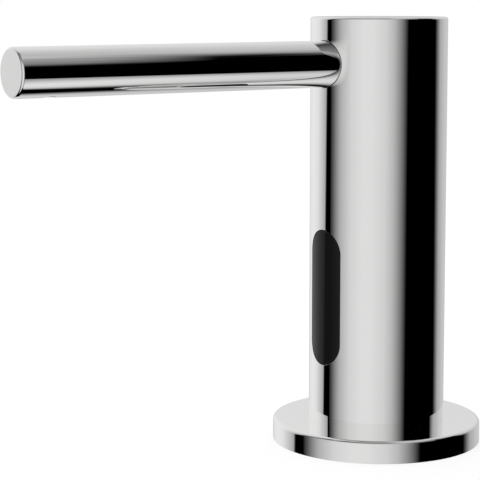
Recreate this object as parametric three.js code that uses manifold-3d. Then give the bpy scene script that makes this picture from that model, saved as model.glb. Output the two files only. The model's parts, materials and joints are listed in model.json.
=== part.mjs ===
// Automatic soap dispenser for a washbasin deck. All lengths are in millimetres.
// The origin lies on the tower's axis in the plane of the deck.
// +Z is up, and the spout and the sensor window face -Y.

import * as THREE from 'three';
import { mergeVertices } from 'three/addons/utils/BufferGeometryUtils.js';
import Module from 'manifold-3d';

const wasm = await Module();
wasm.setup();

// Facet counts, from the tower down to the smallest screw.
const TOWER_FACETS = 64;
const PIPE_FACETS = 40;
const CORE_FACETS = 32;
const THREAD_FACETS = 20;
const RUBBER_SIDES = 6;
const RING_FACETS = 18;
const SMALL_FACETS = 14;
const SCREW_FACETS = 10;
const HEX = 6;
const FILLET_STEPS = 3;
const PILL_STEPS = 8; // half the steps of each rounded end
const TUBE_STEPS = 6; // half the sides of the soap tube
const LEAD_SIDES = 4; // half the sides of the lead

// Vertices closer than this are one vertex.
const WELD = 0.0001;

// Clearances.
const SEAT_GAP = 0.02; // between curved faces that are pulled together
const THREAD_GAP = 0.03; // radial, between a screwed plug and its hole
const RUN_GAP = 0.05; // radial, where one piece slides or turns in another
const SLIP_GAP = 0.1; // round a piece that drops into its hole
const PASS_GAP = 0.3; // round a piece that only passes through
const OVERRUN = 5; // how far a cut runs past the surface that it leaves

// The tower: a closed chrome tube that stands in the flange.
const BODY_RADIUS = 21;
const BODY_WALL = 2;
const BODY_TOP = 131.3;
const BODY_ROOF = 2.5;
const BODY_EDGE = 0.7;
const BODY_SINK = 1.2;
const BODY_BORE = BODY_RADIUS - BODY_WALL;

// The flange on the deck, with a gasket let into its underside.
const FLANGE_RADIUS = 32.2;
const FLANGE_TOP = 6.7;
const FLANGE_LIFT = 0.2;
const FLANGE_EDGE = 0.85;
const GASKET_INSET = 2.2;
const GASKET_WIDTH = 6;
const GASKET_THICKNESS = 1.7;
const GASKET_OUTER = FLANGE_RADIUS - GASKET_INSET;
const GASKET_INNER = GASKET_OUTER - GASKET_WIDTH;
const FOOT_HEIGHT = FLANGE_TOP - BODY_SINK;

// The threaded shank that goes down through the deck hole.
const INSERT_WALL = 4; // from the tower's bore to the shank's thread
const SHANK_WALL = 2.5;
const SHANK_LENGTH = 55; // below the deck's upper face
const SHANK_RADIUS = BODY_BORE - INSERT_WALL;
const SHANK_BORE = SHANK_RADIUS - SHANK_WALL;
const SHANK_BOTTOM = -SHANK_LENGTH;
const FLANGE_BORE = SHANK_RADIUS + PASS_GAP;

// Its coarse right-handed thread, below the flange. Shares of the pitch count up from a turn's foot.
const THREAD_PITCH = 3;
const THREAD_FADE = 1; // plain, next to the deck's upper face
const THREAD_DEPTH_SHARE = 0.34; // of the shank's wall
const THREAD_CREST_SHARE = 0.34; // where the crest ends
const THREAD_ROOT_SHARE = 0.67; // where the root lies
const THREAD_ROOT = SHANK_RADIUS - SHANK_WALL * THREAD_DEPTH_SHARE;

// The brass insert that ties the tower to the shank, with a groove for a rubber ring.
const INSERT_HEIGHT = 12.5;
const INSERT_LIP = 1.5;
const LIP_STEP = 0.5;
const RING_RISE = 2.7;
const RING_HEIGHT = 2;
const RING_DEPTH = 1.3;
const RING_SQUEEZE = 0.06;
const INSERT_BORE = SHANK_RADIUS + THREAD_GAP;
const INSERT_RADIUS = BODY_BORE - THREAD_GAP;
const INSERT_TOP = FOOT_HEIGHT + INSERT_HEIGHT;
const SHANK_TOP = INSERT_TOP - INSERT_LIP;
const LIP_RADIUS = SHANK_BORE + LIP_STEP;
const RING_LOW = FOOT_HEIGHT + RING_RISE;
const RING_HIGH = RING_LOW + RING_HEIGHT;
const GROOVE_RADIUS = INSERT_RADIUS - RING_DEPTH;

// The grub screw at the rear that locks the tower on the insert.
const GRUB_RADIUS = 2;
const GRUB_LENGTH = 5.2;
const GRUB_RISE = 2.8;
const GRUB_INSET = 0.2;
const GRUB_SOCKET_FLATS = 2;
const GRUB_SOCKET_DEPTH = 2.4;
const GRUB_TIP_GAP = 0.2;
const GRUB_TIP_SHARE = 0.6; // of the radius, left flat at the tip
const GRUB_CONE_SHARE = 0.4; // of the radius, the length of the tip's cone
const GRUB_HEIGHT = RING_HIGH + GRUB_RISE;
const GRUB_FRONT = BODY_RADIUS - GRUB_INSET - GRUB_LENGTH;

// The clamp under the deck.
const DECK_THICKNESS = 20;
const WASHER_WIDTH = 10;
const RUBBER_THICKNESS = 3;
const STEEL_THICKNESS = 2;
const NUT_HEIGHT = 8;
const NUT_WALL = 5;
const NUT_CHAMFER = 1.1;
const NUT_FLATS = (SHANK_RADIUS + NUT_WALL) * 2;
const WASHER_RADIUS = SHANK_RADIUS + WASHER_WIDTH;
const RUBBER_LOW = -DECK_THICKNESS - RUBBER_THICKNESS;
const STEEL_LOW = RUBBER_LOW - STEEL_THICKNESS;
const NUT_LOW = STEEL_LOW - NUT_HEIGHT;

// The sensor window: a pill-shaped opening and a lens that follows the tower's curve.
const WINDOW_WIDTH = 14.3;
const WINDOW_HEIGHT = 41.9;
const WINDOW_CENTRE = 46.4;
const LENS_SHOULDER = 2.2;
const LENS_SEAL = 0.6;
const LENS_DEPTH = 6.5;
const LENS_FRONT_WALL = 2.4;
const LENS_SIDE_WALL = 1.65;
const SEAL_STEM_GAP = 0.15;
const WINDOW_HALF = WINDOW_WIDTH / 2;
const WINDOW_STRAIGHT = WINDOW_HEIGHT / 2 - WINDOW_HALF;
const STEM_HALF = WINDOW_HALF - SLIP_GAP;
const SHOULDER_HALF = WINDOW_HALF + LENS_SHOULDER;
const POCKET_HALF = STEM_HALF - LENS_SIDE_WALL;
const LENS_BACK = BODY_RADIUS - LENS_DEPTH;
const SHOULDER_RADIUS = BODY_BORE - LENS_SEAL;
const POCKET_RADIUS = BODY_RADIUS - LENS_FRONT_WALL;

// The sensor housing behind the lens. Its backs and fronts are measured from the tower's axis.
const HOUSING_SHARE = 0.452381; // of the tower's radius, the housing's depth
const FLOOR_SHARE = 0.147368; // of the housing's depth, and so are the next two
const BOARD_INSET_SHARE = 0.284211; // from the housing's rim to the board
const BOARD_SHARE = 0.168421;
const HOUSING_WALL = 1.6;
const BOARD_MARGIN = 0.45;
const BOSS_RADIUS = 2.2;
const BOSS_LENGTH = 2.5;
const BOARD_SCREW_OFFSET = 4.7; // beyond the window's straight sides
const HOUSING_SCREW_OFFSET = 0.2;
const HOUSING_DEPTH = BODY_RADIUS * HOUSING_SHARE;
const HOUSING_BACK = LENS_BACK - HOUSING_DEPTH;
const CAVITY_HALF = SHOULDER_HALF - HOUSING_WALL;
const CAVITY_BACK = HOUSING_BACK + HOUSING_DEPTH * FLOOR_SHARE;
const BOARD_HALF = CAVITY_HALF - BOARD_MARGIN;
const BOARD_FRONT = LENS_BACK - HOUSING_DEPTH * BOARD_INSET_SHARE;
const BOARD_BACK = BOARD_FRONT - HOUSING_DEPTH * BOARD_SHARE;
const BOARD_SCREW_RISE = WINDOW_STRAIGHT + BOARD_SCREW_OFFSET;
const HOUSING_SCREW_RISE = WINDOW_STRAIGHT + HOUSING_SCREW_OFFSET;

// Small screws of the sensor unit.
const SCREW_RADIUS = 1;
const SCREW_HEAD_RADIUS = 1.75;
const SCREW_HEAD = 1.2;
const SCREW_DRIVE_FLATS = 1.3;
const SCREW_DRIVE_DEPTH = 0.7;
const BOARD_SCREW_LENGTH = 4;
const HOUSING_SCREW_LENGTH = 4.2;
const BRACKET_SCREW_LENGTH = 5.5;
const SCREW_END_GAP = 0.3;

// Electronics on the board.
const EYE_RADIUS = 2.5;
const EYE_RIM_WIDTH = 0.4;
const EYE_RIM = 1;
const EYE_RISE = 9;
const EMITTER_BARREL = 3.2;
const RECEIVER_BARREL = 3;
const RECEIVER_BEVEL = 0.5;
const LIGHT_RADIUS = 1.5;
const LIGHT_BARREL = 2.4;
const CHIP_WIDTH = 5;
const CHIP_LENGTH = 6.4;
const CHIP_RISE = 2;
const CHIP_THICKNESS = 1.5;
const PLUG_SIDE = 4.5;
const PLUG_WIDTH = 3.8;
const PLUG_LENGTH = 4.5;
const PLUG_SHARE = 0.315789; // of the housing's depth, the plug's thickness
const PLUG_OFFSET = 2.7; // beyond the window's straight sides
const PLUG_LOW = -WINDOW_STRAIGHT - PLUG_OFFSET;
const PLUG_THICKNESS = HOUSING_DEPTH * PLUG_SHARE;

// The sheet-metal bracket that carries the sensor unit on the insert.
const SHEET = 1;
const BRACKET_INNER_STEP = 0.2; // inside the insert's lip
const BRACKET_OUTER_GAP = 0.4;
const BRACKET_WIDTH = 15;
const BRACKET_SHOULDER = 5;
const BRACKET_HEAD = 5.6; // above the upper housing screw
const BRACKET_BORE = LIP_RADIUS - BRACKET_INNER_STEP;
const BRACKET_RADIUS = BODY_BORE - BRACKET_OUTER_GAP;
const BRACKET_TOP = WINDOW_CENTRE + HOUSING_SCREW_RISE + BRACKET_HEAD;
const BRACKET_SCREW_SIDE = (INSERT_BORE + INSERT_RADIUS) / 2;

// The plastic plug in the end of the shank.
const PLUG_RIM_STEP = 0.8; // inside the shank's outer radius
const PLUG_RIM = 2.5;
const PLUG_SPIGOT = 8;
const PLUG_BOTTOM = SHANK_BOTTOM - PLUG_RIM;
const SPIGOT_TOP = SHANK_BOTTOM + PLUG_SPIGOT;

// The internal lead and its socket in the end of the shank.
const LEAD_RADIUS = 1.5;
const LEAD_FLOOR_GAP = 0.5; // to the housing's floor
const LEAD_SWAY = 1.1;
const LEAD_STEPS = 14;
const LEAD_END_GAP = 0.02;
const LEAD_SWAY_SHARES = [0.15, 0.65]; // of the way from the insert to the socket
const SOCKET_SHARE = 0.224; // of the shank's bore, the socket's radius
const SOCKET_FRONT_SHARE = 0.672; // of the shank's bore, from its axis to the socket's
const SOCKET_NECK = 2; // above the plug's spigot
const SOCKET_RIM_WIDTH = 0.5;
const SOCKET_RIM = 2.5;
const SOCKET_TAIL = 3.5;
const SOCKET_WALL = 0.9;
const SOCKET_RECESS = 5;
const SOCKET_PIN_RADIUS = 0.6;
const SOCKET_PIN = 4;
const SOCKET_RADIUS = SHANK_BORE * SOCKET_SHARE;
const SOCKET_FRONT = SHANK_BORE * SOCKET_FRONT_SHARE;
const LEAD_FRONT = CAVITY_BACK + LEAD_FLOOR_GAP + LEAD_RADIUS;
const SOCKET_TOP = SPIGOT_TOP + SOCKET_NECK;
const SOCKET_BOTTOM = PLUG_BOTTOM - SOCKET_RIM - SOCKET_TAIL;

// The inlet at the foot of the soap line: a push-in hose socket below, a ball valve above.
const LINE_SHARE = 0.288; // of the shank's bore, from its axis back to the soap line
const INLET_SHARE = 0.6; // of the shank's bore, the inlet's radius in the end plug
const INLET_TAIL_SHARE = 0.64; // of the shank's bore, its radius below the end plug
const HOSE_SHARE = 0.32; // of the shank's bore, the hose's outer radius
const INLET_RIM_WIDTH = 0.9;
const INLET_RIM = 3;
const HOSE_GAP = 0.05;
const STOP_DROP = 1.5; // from the plug's underside to the hose's end
const HOSE_LAND = 4.4;
const SEAL_WIDTH = 1.5;
const SEAL_HEIGHT = 2.6;
const SEAL_SECTION_GAP = 0.03;
const COLLET_WALL = 1.45;
const COLLET_HOSE_GAP = 0.1;
const COLLET_LIP = 1.4;
const COLLET_LIP_WIDTH = 0.4;
const COLLET_NECK = 3.5;
const COLLET_PRESS = 1;
const COLLET_RIM = 1.2;
const COLLET_RIM_WIDTH = 1.6;
const VALVE_PORT = 2;
const VALVE_PORT_LENGTH = 3;
const VALVE_CHAMBER = 3.4;
const VALVE_LENGTH = 12;
const BALL_GAP = 0.6;
const BALL_WIDTH_FACETS = 14;
const BALL_HEIGHT_FACETS = 8;
const LINE_BACK = SHANK_BORE * LINE_SHARE;
const INLET_RADIUS = SHANK_BORE * INLET_SHARE;
const INLET_TAIL_RADIUS = SHANK_BORE * INLET_TAIL_SHARE;
const HOSE_RADIUS = SHANK_BORE * HOSE_SHARE;
const HOSE_STOP = PLUG_BOTTOM - STOP_DROP;
const SEAL_TOP = HOSE_STOP - HOSE_LAND;
const SEAL_BORE = HOSE_RADIUS + SEAL_WIDTH;
const COLLET_INNER = HOSE_RADIUS + COLLET_HOSE_GAP;
const COLLET_OUTER = COLLET_INNER + COLLET_WALL;
const COLLET_BORE = COLLET_OUTER + RUN_GAP;
const COLLET_STOP = SEAL_TOP - SEAL_HEIGHT;
const UNDERCUT_RADIUS = COLLET_BORE + COLLET_LIP_WIDTH;
const UNDERCUT_LOW = COLLET_STOP - COLLET_LIP - COLLET_PRESS - SLIP_GAP;
const INLET_BOTTOM = UNDERCUT_LOW - COLLET_NECK;
const VALVE_SEAT = HOSE_STOP + VALVE_PORT_LENGTH;
const INLET_TOP = VALVE_SEAT + VALVE_LENGTH;
const BALL_RADIUS = VALVE_CHAMBER - BALL_GAP;

// The valve's spring and the tube connector that holds it down.
const SPRING_INSET = 1.3; // from the chamber's wall to the wire's centre
const SPRING_WIRE = 0.25;
const SPRING_END = 0.4;
const SPRING_TURNS = 3.5;
const SPRING_STEPS_A_TURN = 10;
const SPRING_SIDES = 3; // half the sides of the wire
const CONNECTOR_SPIGOT = 3;
const CONNECTOR_INSET = 0.9;
const CONNECTOR_COLLAR = 2.2;
const SPRING_RADIUS = VALVE_CHAMBER - SPRING_INSET;

// The soft tube, with a ferrule and a barb at each end.
const TUBE_RADIUS = 3;
const TUBE_WALL = 1;
const TUBE_END_GAP = 0.02;
const BEND_RADIUS = 17.3;
const BEND_STEPS = 6;
const BARB_LENGTH = 8;
const BARB_GAP = 0.08;
const BARB_NECK_STEP = 0.3;
const BARB_WALL = 0.5;
const BARB_RIDGES = 2;
const BARB_NECK_SHARE = 0.3; // of a ridge's pitch, before its step
const BARB_STEP_SHARE = 0.1; // of a ridge's pitch, taken by its step
const FERRULE_THICKNESS = 0.6;
const FERRULE_INSET = 1.2;
const FERRULE_LENGTH = 5;
const TUBE_BORE = TUBE_RADIUS - TUBE_WALL;
const BARB_NECK = TUBE_BORE - BARB_NECK_STEP;
const BARB_BORE = BARB_NECK - BARB_WALL;

// The spout: a level tube with a closed end and a nozzle in its underside.
const SPOUT_DROP = 14; // from the tower's top to the spout's axis
const SPOUT_RADIUS = 7;
const SPOUT_WALL = 1.25;
const SPOUT_REACH = 124.9;
const SPOUT_EDGE = 0.7;
const SPOUT_RIM = 0.2;
const END_SPIGOT = 4.8;
const SPOUT_HEIGHT = BODY_TOP - SPOUT_DROP;
const SPOUT_BORE = SPOUT_RADIUS - SPOUT_WALL;
const END_SEAM = SPOUT_REACH - SPOUT_EDGE - SPOUT_RIM;

// The spout's threaded tail, which passes through the tower's wall to a saddle washer and a nut.
const TAIL_STEP = 0.7;
const TAIL_WALL = 1.4;
const TAIL_STUB = 0.4;
const TAIL_BUSH = 7; // thicker wall, outside the tower
const SADDLE_STEP = 2.2;
const SADDLE_THICKNESS = 2.8;
const TAIL_NUT_WALL = 1.7;
const TAIL_NUT = 3.6;
const TAIL_RADIUS = SPOUT_RADIUS - TAIL_STEP;
const TAIL_BORE = TAIL_RADIUS - TAIL_WALL;
const SADDLE_RADIUS = SPOUT_RADIUS + SADDLE_STEP;
const SADDLE_FLAT = BODY_BORE - SADDLE_THICKNESS;
const TAIL_END = SADDLE_FLAT - TAIL_NUT - TAIL_STUB;
const TAIL_BUSH_END = BODY_RADIUS + TAIL_BUSH;
const TAIL_NUT_FLATS = (TAIL_RADIUS + TAIL_NUT_WALL) * 2;

// The nozzle near the spout's end, and the spacer that centres the tube.
const NOZZLE_SETBACK = 11;
const NOZZLE_TAIL = 4.9;
const NOZZLE_NOSE = 4.3;
const NOZZLE_TOP = 3; // below the spout's axis
const NOZZLE_RADIUS = 2.5;
const NOZZLE_BORE = 1.2;
const NOZZLE_RECESS = 0.15;
const SPACER_LENGTH = 5;
const SPACER_SHARE = 0.53; // of the spout's reach
const NOZZLE_REACH = SPOUT_REACH - NOZZLE_SETBACK;
const NOZZLE_BACK = NOZZLE_REACH - NOZZLE_TAIL;
const NOZZLE_FRONT = NOZZLE_REACH + NOZZLE_NOSE;
const SPACER_REACH = SPOUT_REACH * SPACER_SHARE;

// Surfaces: colour, roughness and metalness.
const CHROME = { color: 0xd8dadd, roughness: 0.06, metalness: 1 };
const BRASS = { color: 0xc9a24e, roughness: 0.35, metalness: 1 };
const STEEL = { color: 0xb4b7bb, roughness: 0.3, metalness: 1 };
const BLACK_RUBBER = { color: 0x17181a, roughness: 0.85, metalness: 0 };
const BLACK_LENS = { color: 0x07080a, roughness: 0.05, metalness: 0 };
const DARK_PLASTIC = { color: 0x2b2d30, roughness: 0.55, metalness: 0 };
const PALE_PLASTIC = { color: 0xe4e3dd, roughness: 0.5, metalness: 0 };
const BLUE_PLASTIC = { color: 0x2d62a8, roughness: 0.45, metalness: 0 };
const GREEN_BOARD = { color: 0x1d5a38, roughness: 0.5, metalness: 0 };
const CLEAR_TUBE = { color: 0xdfe6e8, roughness: 0.2, metalness: 0 };
const TINTED_EYE = { color: 0x241a2c, roughness: 0.12, metalness: 0 };
const RED_LIGHT = { color: 0xb2221c, roughness: 0.2, metalness: 0 };

// A geometry as a closed solid that can be cut and joined.
function solid(geometry) {
  const bare = geometry.clone();
  bare.deleteAttribute('normal');
  bare.deleteAttribute('uv');
  const welded = mergeVertices(bare, WELD);
  const corners = welded.index.array;
  const kept = [];
  for (let i = 0; i < corners.length; i += 3) {
    const [a, b, c] = [corners[i], corners[i + 1], corners[i + 2]];
    if (a !== b && b !== c && c !== a) {
      kept.push(a, b, c);
    }
  }
  const mesh = new wasm.Mesh({
    numProp: 3,
    vertProperties: new Float32Array(welded.attributes.position.array),
    triVerts: new Uint32Array(kept),
  });
  return new wasm.Manifold(mesh);
}

// A solid as a geometry with flat faces.
function geometryOf(body) {
  const mesh = body.getMesh();
  const geometry = new THREE.BufferGeometry();
  geometry.setAttribute('position', new THREE.BufferAttribute(mesh.vertProperties, 3));
  geometry.setIndex(new THREE.BufferAttribute(mesh.triVerts, 1));
  const flat = geometry.toNonIndexed();
  flat.computeVertexNormals();
  return flat;
}

// A piece turned about +Z from [radius, height] pairs, listed anticlockwise.
function turned(profile, facets) {
  const points = profile.map(([radius, height]) => new THREE.Vector2(radius, height));
  return solid(new THREE.LatheGeometry(points, facets).rotateX(Math.PI / 2));
}

function rod(radius, low, high, facets) {
  return turned([[0, low], [radius, low], [radius, high], [0, high]], facets);
}

function ring(inner, outer, low, high, facets) {
  return turned([[inner, low], [outer, low], [outer, high], [inner, high], [inner, low]], facets);
}

// A rod about +Z with a right-handed helical thread that is cut off square at low and high.
function threadedRod(low, high) {
  const section = [
    [0, SHANK_RADIUS],
    [THREAD_CREST_SHARE, SHANK_RADIUS],
    [THREAD_ROOT_SHARE, THREAD_ROOT],
  ];
  const start = low - THREAD_PITCH * 2;
  const turns = Math.ceil((high - start) / THREAD_PITCH) + 1;
  const last = turns * section.length;
  const points = [];
  const rows = [];
  for (let row = 0; row <= last + section.length; row += 1) {
    const [share, radius] = section[row % section.length];
    const foot = start + (Math.floor(row / section.length) + share) * THREAD_PITCH;
    const steps = row > last ? 1 : THREAD_FACETS;
    rows.push([]);
    for (let step = 0; step < steps; step += 1) {
      const around = step / THREAD_FACETS;
      const angle = around * Math.PI * 2;
      rows[row].push(points.length / 3);
      points.push(radius * Math.cos(angle), radius * Math.sin(angle), foot + around * THREAD_PITCH);
    }
  }
  const footCentre = points.length / 3;
  const headCentre = footCentre + 1;
  points.push(0, 0, start, 0, 0, high + THREAD_PITCH);
  // The point at a row and step. After a full turn a row runs on into the one a pitch above it.
  const at = (row, step) => (step < THREAD_FACETS ? rows[row][step] : rows[row + section.length][0]);
  const faces = [];
  for (let row = 0; row < last; row += 1) {
    for (let step = 0; step < THREAD_FACETS; step += 1) {
      faces.push(at(row, step), at(row, step + 1), at(row + 1, step + 1));
      faces.push(at(row, step), at(row + 1, step + 1), at(row + 1, step));
    }
  }
  for (let step = 0; step < THREAD_FACETS; step += 1) {
    faces.push(footCentre, at(0, step + 1), at(0, step));
    faces.push(headCentre, at(last, step), at(last, step + 1));
  }
  for (let row = 0; row < section.length; row += 1) {
    faces.push(footCentre, at(row, 0), at(row + 1, 0));
    faces.push(headCentre, at(last + row + 1, 0), at(last + row, 0));
  }
  const geometry = new THREE.BufferGeometry();
  geometry.setAttribute('position', new THREE.Float32BufferAttribute(points, 3));
  geometry.setIndex(faces);
  return solid(geometry).intersect(rod(SHANK_RADIUS + OVERRUN, low, high, CORE_FACETS));
}

// A quarter round on the upper outer edge of a turned profile.
function upperEdge(radius, height, edge) {
  const points = [];
  for (let i = 0; i <= FILLET_STEPS; i += 1) {
    const angle = (i / FILLET_STEPS) * (Math.PI / 2);
    const r = radius - edge + edge * Math.cos(angle);
    points.push([r, height - edge + edge * Math.sin(angle)]);
  }
  return points;
}

// A rubber ring with a flattened round section.
function rubberRing(inner, outer, low, high, facets) {
  const middle = (inner + outer) / 2;
  const centre = (low + high) / 2;
  const points = [];
  for (let i = 0; i <= RUBBER_SIDES; i += 1) {
    const angle = (i / RUBBER_SIDES) * Math.PI * 2;
    const r = middle + ((outer - inner) / 2) * Math.cos(angle);
    points.push([r, centre + ((high - low) / 2) * Math.sin(angle)]);
  }
  return turned(points, facets);
}

// A block centred across, standing on zero and reaching forwards from zero.
function upright(width, height, depth) {
  return solid(new THREE.BoxGeometry(width, height, depth).translate(0, height / 2, depth / 2));
}

function prism(shape, low, high, curveSegments) {
  const options = { depth: high - low, bevelEnabled: false, curveSegments };
  return solid(new THREE.ExtrudeGeometry(shape, options).translate(0, 0, low));
}

// A hexagonal bar along Z, given its width across flats.
function hexBar(flats, low, high) {
  return rod(flats / Math.sqrt(3), low, high, HEX);
}

// An upright pill of the sensor unit: the same straight length, any half width.
function pill(half, low, high) {
  const shape = new THREE.Shape();
  shape.absarc(0, WINDOW_STRAIGHT, half, 0, Math.PI);
  shape.absarc(0, -WINDOW_STRAIGHT, half, Math.PI, Math.PI * 2);
  return prism(shape, low, high, PILL_STEPS);
}

// A round bar that lies along Y, at the origin, as the tower is seen by the sensor unit.
function uprightBar(radius, reach, facets) {
  return rod(radius, -reach, reach, facets).rotate([90, 0, 0]);
}

// A pan-head screw with its head's underside at zero, pointing along -Z.
function screw(length) {
  const body = turned([
    [0, -length],
    [SCREW_RADIUS, -length],
    [SCREW_RADIUS, 0],
    [SCREW_HEAD_RADIUS, 0],
    [SCREW_HEAD_RADIUS, SCREW_HEAD],
    [0, SCREW_HEAD],
  ], SCREW_FACETS);
  return body.subtract(hexBar(SCREW_DRIVE_FLATS, SCREW_HEAD - SCREW_DRIVE_DEPTH, SCREW_HEAD + OVERRUN));
}

// A path through fixed stations, with one step of the sweep to each.
class StationPath extends THREE.Curve {
  constructor(stations) {
    super();
    this.stations = stations;
  }

  getPoint(t, target = new THREE.Vector3()) {
    const last = this.stations.length - 1;
    const along = Math.min(Math.max(t, 0), 1) * last;
    const i = Math.min(Math.floor(along), last - 1);
    return target.lerpVectors(this.stations[i], this.stations[i + 1], along - i);
  }

  getPointAt(u, target) {
    return this.getPoint(u, target);
  }

  getTangentAt(u, target) {
    return this.getTangent(u, target);
  }
}

class SpringPath extends THREE.Curve {
  constructor(radius, low, high, turns) {
    super();
    Object.assign(this, { radius, low, high, turns });
  }

  getPoint(t, target = new THREE.Vector3()) {
    const angle = t * this.turns * Math.PI * 2;
    const rise = this.low + (this.high - this.low) * t;
    return target.set(this.radius * Math.cos(angle), this.radius * Math.sin(angle), rise);
  }
}

// A round section, hollow when a bore is given, swept along a path.
function swept(path, steps, radius, bore, sides) {
  const section = new THREE.Shape();
  section.absarc(0, 0, radius, 0, Math.PI * 2);
  if (bore > 0) {
    const hole = new THREE.Path();
    hole.absarc(0, 0, bore, 0, Math.PI * 2);
    section.holes.push(hole);
  }
  const options = { steps, extrudePath: path, bevelEnabled: false, curveSegments: sides };
  return solid(new THREE.ExtrudeGeometry(section, options));
}

// Adds one named piece to a group.
function piece(group, name, body, surface) {
  const mesh = new THREE.Mesh(geometryOf(body), new THREE.MeshStandardMaterial(surface));
  mesh.name = name;
  group.add(mesh);
  return mesh;
}

function assembly(parent, name) {
  const group = new THREE.Group();
  group.name = name;
  parent.add(group);
  return group;
}

const dispenser = new THREE.Group();
dispenser.name = 'automatic_soap_dispenser';

// Tower and flange.
const tower = assembly(dispenser, 'tower');

const flangeBlank = turned([
  [0, FLANGE_LIFT],
  [FLANGE_RADIUS, FLANGE_LIFT],
  ...upperEdge(FLANGE_RADIUS, FLANGE_TOP, FLANGE_EDGE),
  [0, FLANGE_TOP],
], TOWER_FACETS);
const rebate = rod(BODY_RADIUS + THREAD_GAP, FOOT_HEIGHT, FLANGE_TOP + OVERRUN, TOWER_FACETS);
const flangeBore = rod(FLANGE_BORE, -OVERRUN, FLANGE_TOP, CORE_FACETS);
const gasketGroove = ring(GASKET_INNER, GASKET_OUTER, -OVERRUN, GASKET_THICKNESS, CORE_FACETS);
const flangeBody = flangeBlank.subtract(rebate).subtract(flangeBore).subtract(gasketGroove);
piece(tower, 'escutcheon', flangeBody, CHROME);

const gasketInner = GASKET_INNER + RUN_GAP;
const gasketOuter = GASKET_OUTER - RUN_GAP;
const gasket = ring(gasketInner, gasketOuter, 0, GASKET_THICKNESS, CORE_FACETS);
piece(tower, 'base_gasket', gasket, BLACK_RUBBER);

const shellBlank = turned([
  [0, BODY_TOP - BODY_ROOF],
  [BODY_BORE, BODY_TOP - BODY_ROOF],
  [BODY_BORE, FOOT_HEIGHT],
  [BODY_RADIUS, FOOT_HEIGHT],
  ...upperEdge(BODY_RADIUS, BODY_TOP, BODY_EDGE),
  [0, BODY_TOP],
], TOWER_FACETS);
const windowCut = pill(WINDOW_HALF, LENS_BACK, BODY_RADIUS + OVERRUN)
  .rotate([90, 0, 0])
  .translate([0, 0, WINDOW_CENTRE]);
const spoutHole = rod(TAIL_RADIUS + RUN_GAP, TAIL_END, BODY_RADIUS + OVERRUN, PIPE_FACETS)
  .rotate([90, 0, 0])
  .translate([0, 0, SPOUT_HEIGHT]);
const grubHoleEnd = GRUB_FRONT - GRUB_TIP_GAP;
const grubHole = rod(GRUB_RADIUS + THREAD_GAP, grubHoleEnd, BODY_RADIUS + OVERRUN, SMALL_FACETS)
  .rotate([-90, 0, 0])
  .translate([0, 0, GRUB_HEIGHT]);
const shell = shellBlank.subtract(windowCut).subtract(spoutHole).subtract(grubHole);
piece(tower, 'body_shell', shell, CHROME);

// The insert: a threaded ring with a groove for its rubber ring and a lip over the shank.
const insertBlank = turned([
  [INSERT_BORE, FOOT_HEIGHT],
  [INSERT_RADIUS, FOOT_HEIGHT],
  [INSERT_RADIUS, RING_LOW],
  [GROOVE_RADIUS, RING_LOW],
  [GROOVE_RADIUS, RING_HIGH],
  [INSERT_RADIUS, RING_HIGH],
  [INSERT_RADIUS, INSERT_TOP],
  [LIP_RADIUS, INSERT_TOP],
  [LIP_RADIUS, SHANK_TOP],
  [INSERT_BORE, SHANK_TOP],
  [INSERT_BORE, FOOT_HEIGHT],
], CORE_FACETS);
const bracketHoleLow = INSERT_TOP + SHEET - BRACKET_SCREW_LENGTH - SCREW_END_GAP;
const bracketHole = rod(SCREW_RADIUS + THREAD_GAP, bracketHoleLow, INSERT_TOP + OVERRUN, SCREW_FACETS);
let insert = insertBlank.subtract(grubHole);
for (const side of [-1, 1]) {
  insert = insert.subtract(bracketHole.translate([side * BRACKET_SCREW_SIDE, 0, 0]));
}
piece(tower, 'base_insert', insert, BRASS);

const bodyRing = rubberRing(
  GROOVE_RADIUS + SEAT_GAP,
  BODY_BORE - SEAT_GAP,
  RING_LOW + RING_SQUEEZE,
  RING_HIGH - RING_SQUEEZE,
  CORE_FACETS,
);
piece(tower, 'body_o_ring', bodyRing, BLACK_RUBBER);

const grubBlank = turned([
  [0, 0],
  [GRUB_RADIUS * GRUB_TIP_SHARE, 0],
  [GRUB_RADIUS, GRUB_RADIUS * GRUB_CONE_SHARE],
  [GRUB_RADIUS, GRUB_LENGTH],
  [0, GRUB_LENGTH],
], SMALL_FACETS);
const grubSocket = hexBar(GRUB_SOCKET_FLATS, GRUB_LENGTH - GRUB_SOCKET_DEPTH, GRUB_LENGTH + OVERRUN);
const grub = piece(tower, 'grub_screw', grubBlank.subtract(grubSocket), STEEL);
grub.rotation.x = -Math.PI / 2;
grub.position.set(0, GRUB_FRONT, GRUB_HEIGHT);

// Mounting hardware: shank, end plug and the clamp under the deck.
const mounting = assembly(dispenser, 'mounting');

const shankHole = rod(SHANK_BORE, SHANK_BOTTOM - OVERRUN, OVERRUN, CORE_FACETS);
const shankNeck = ring(SHANK_BORE, SHANK_RADIUS, -THREAD_FADE, SHANK_TOP, CORE_FACETS);
const shank = threadedRod(SHANK_BOTTOM, 0).subtract(shankHole).add(shankNeck);
piece(mounting, 'shank', shank, BRASS);

const plugCutLow = PLUG_BOTTOM - OVERRUN;
const plugCutHigh = SPIGOT_TOP + OVERRUN;
const inletHole = rod(INLET_RADIUS + SLIP_GAP, plugCutLow, plugCutHigh, RING_FACETS)
  .translate([0, LINE_BACK, 0]);
const socketHole = rod(SOCKET_RADIUS + SLIP_GAP, plugCutLow, plugCutHigh, SMALL_FACETS)
  .translate([0, -SOCKET_FRONT, 0]);
const endPlug = turned([
  [0, PLUG_BOTTOM],
  [SHANK_RADIUS - PLUG_RIM_STEP, PLUG_BOTTOM],
  [SHANK_RADIUS - PLUG_RIM_STEP, SHANK_BOTTOM],
  [SHANK_BORE - RUN_GAP, SHANK_BOTTOM],
  [SHANK_BORE - RUN_GAP, SPIGOT_TOP],
  [0, SPIGOT_TOP],
], CORE_FACETS);
piece(mounting, 'shank_end_plug', endPlug.subtract(inletHole).subtract(socketHole), DARK_PLASTIC);

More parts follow.
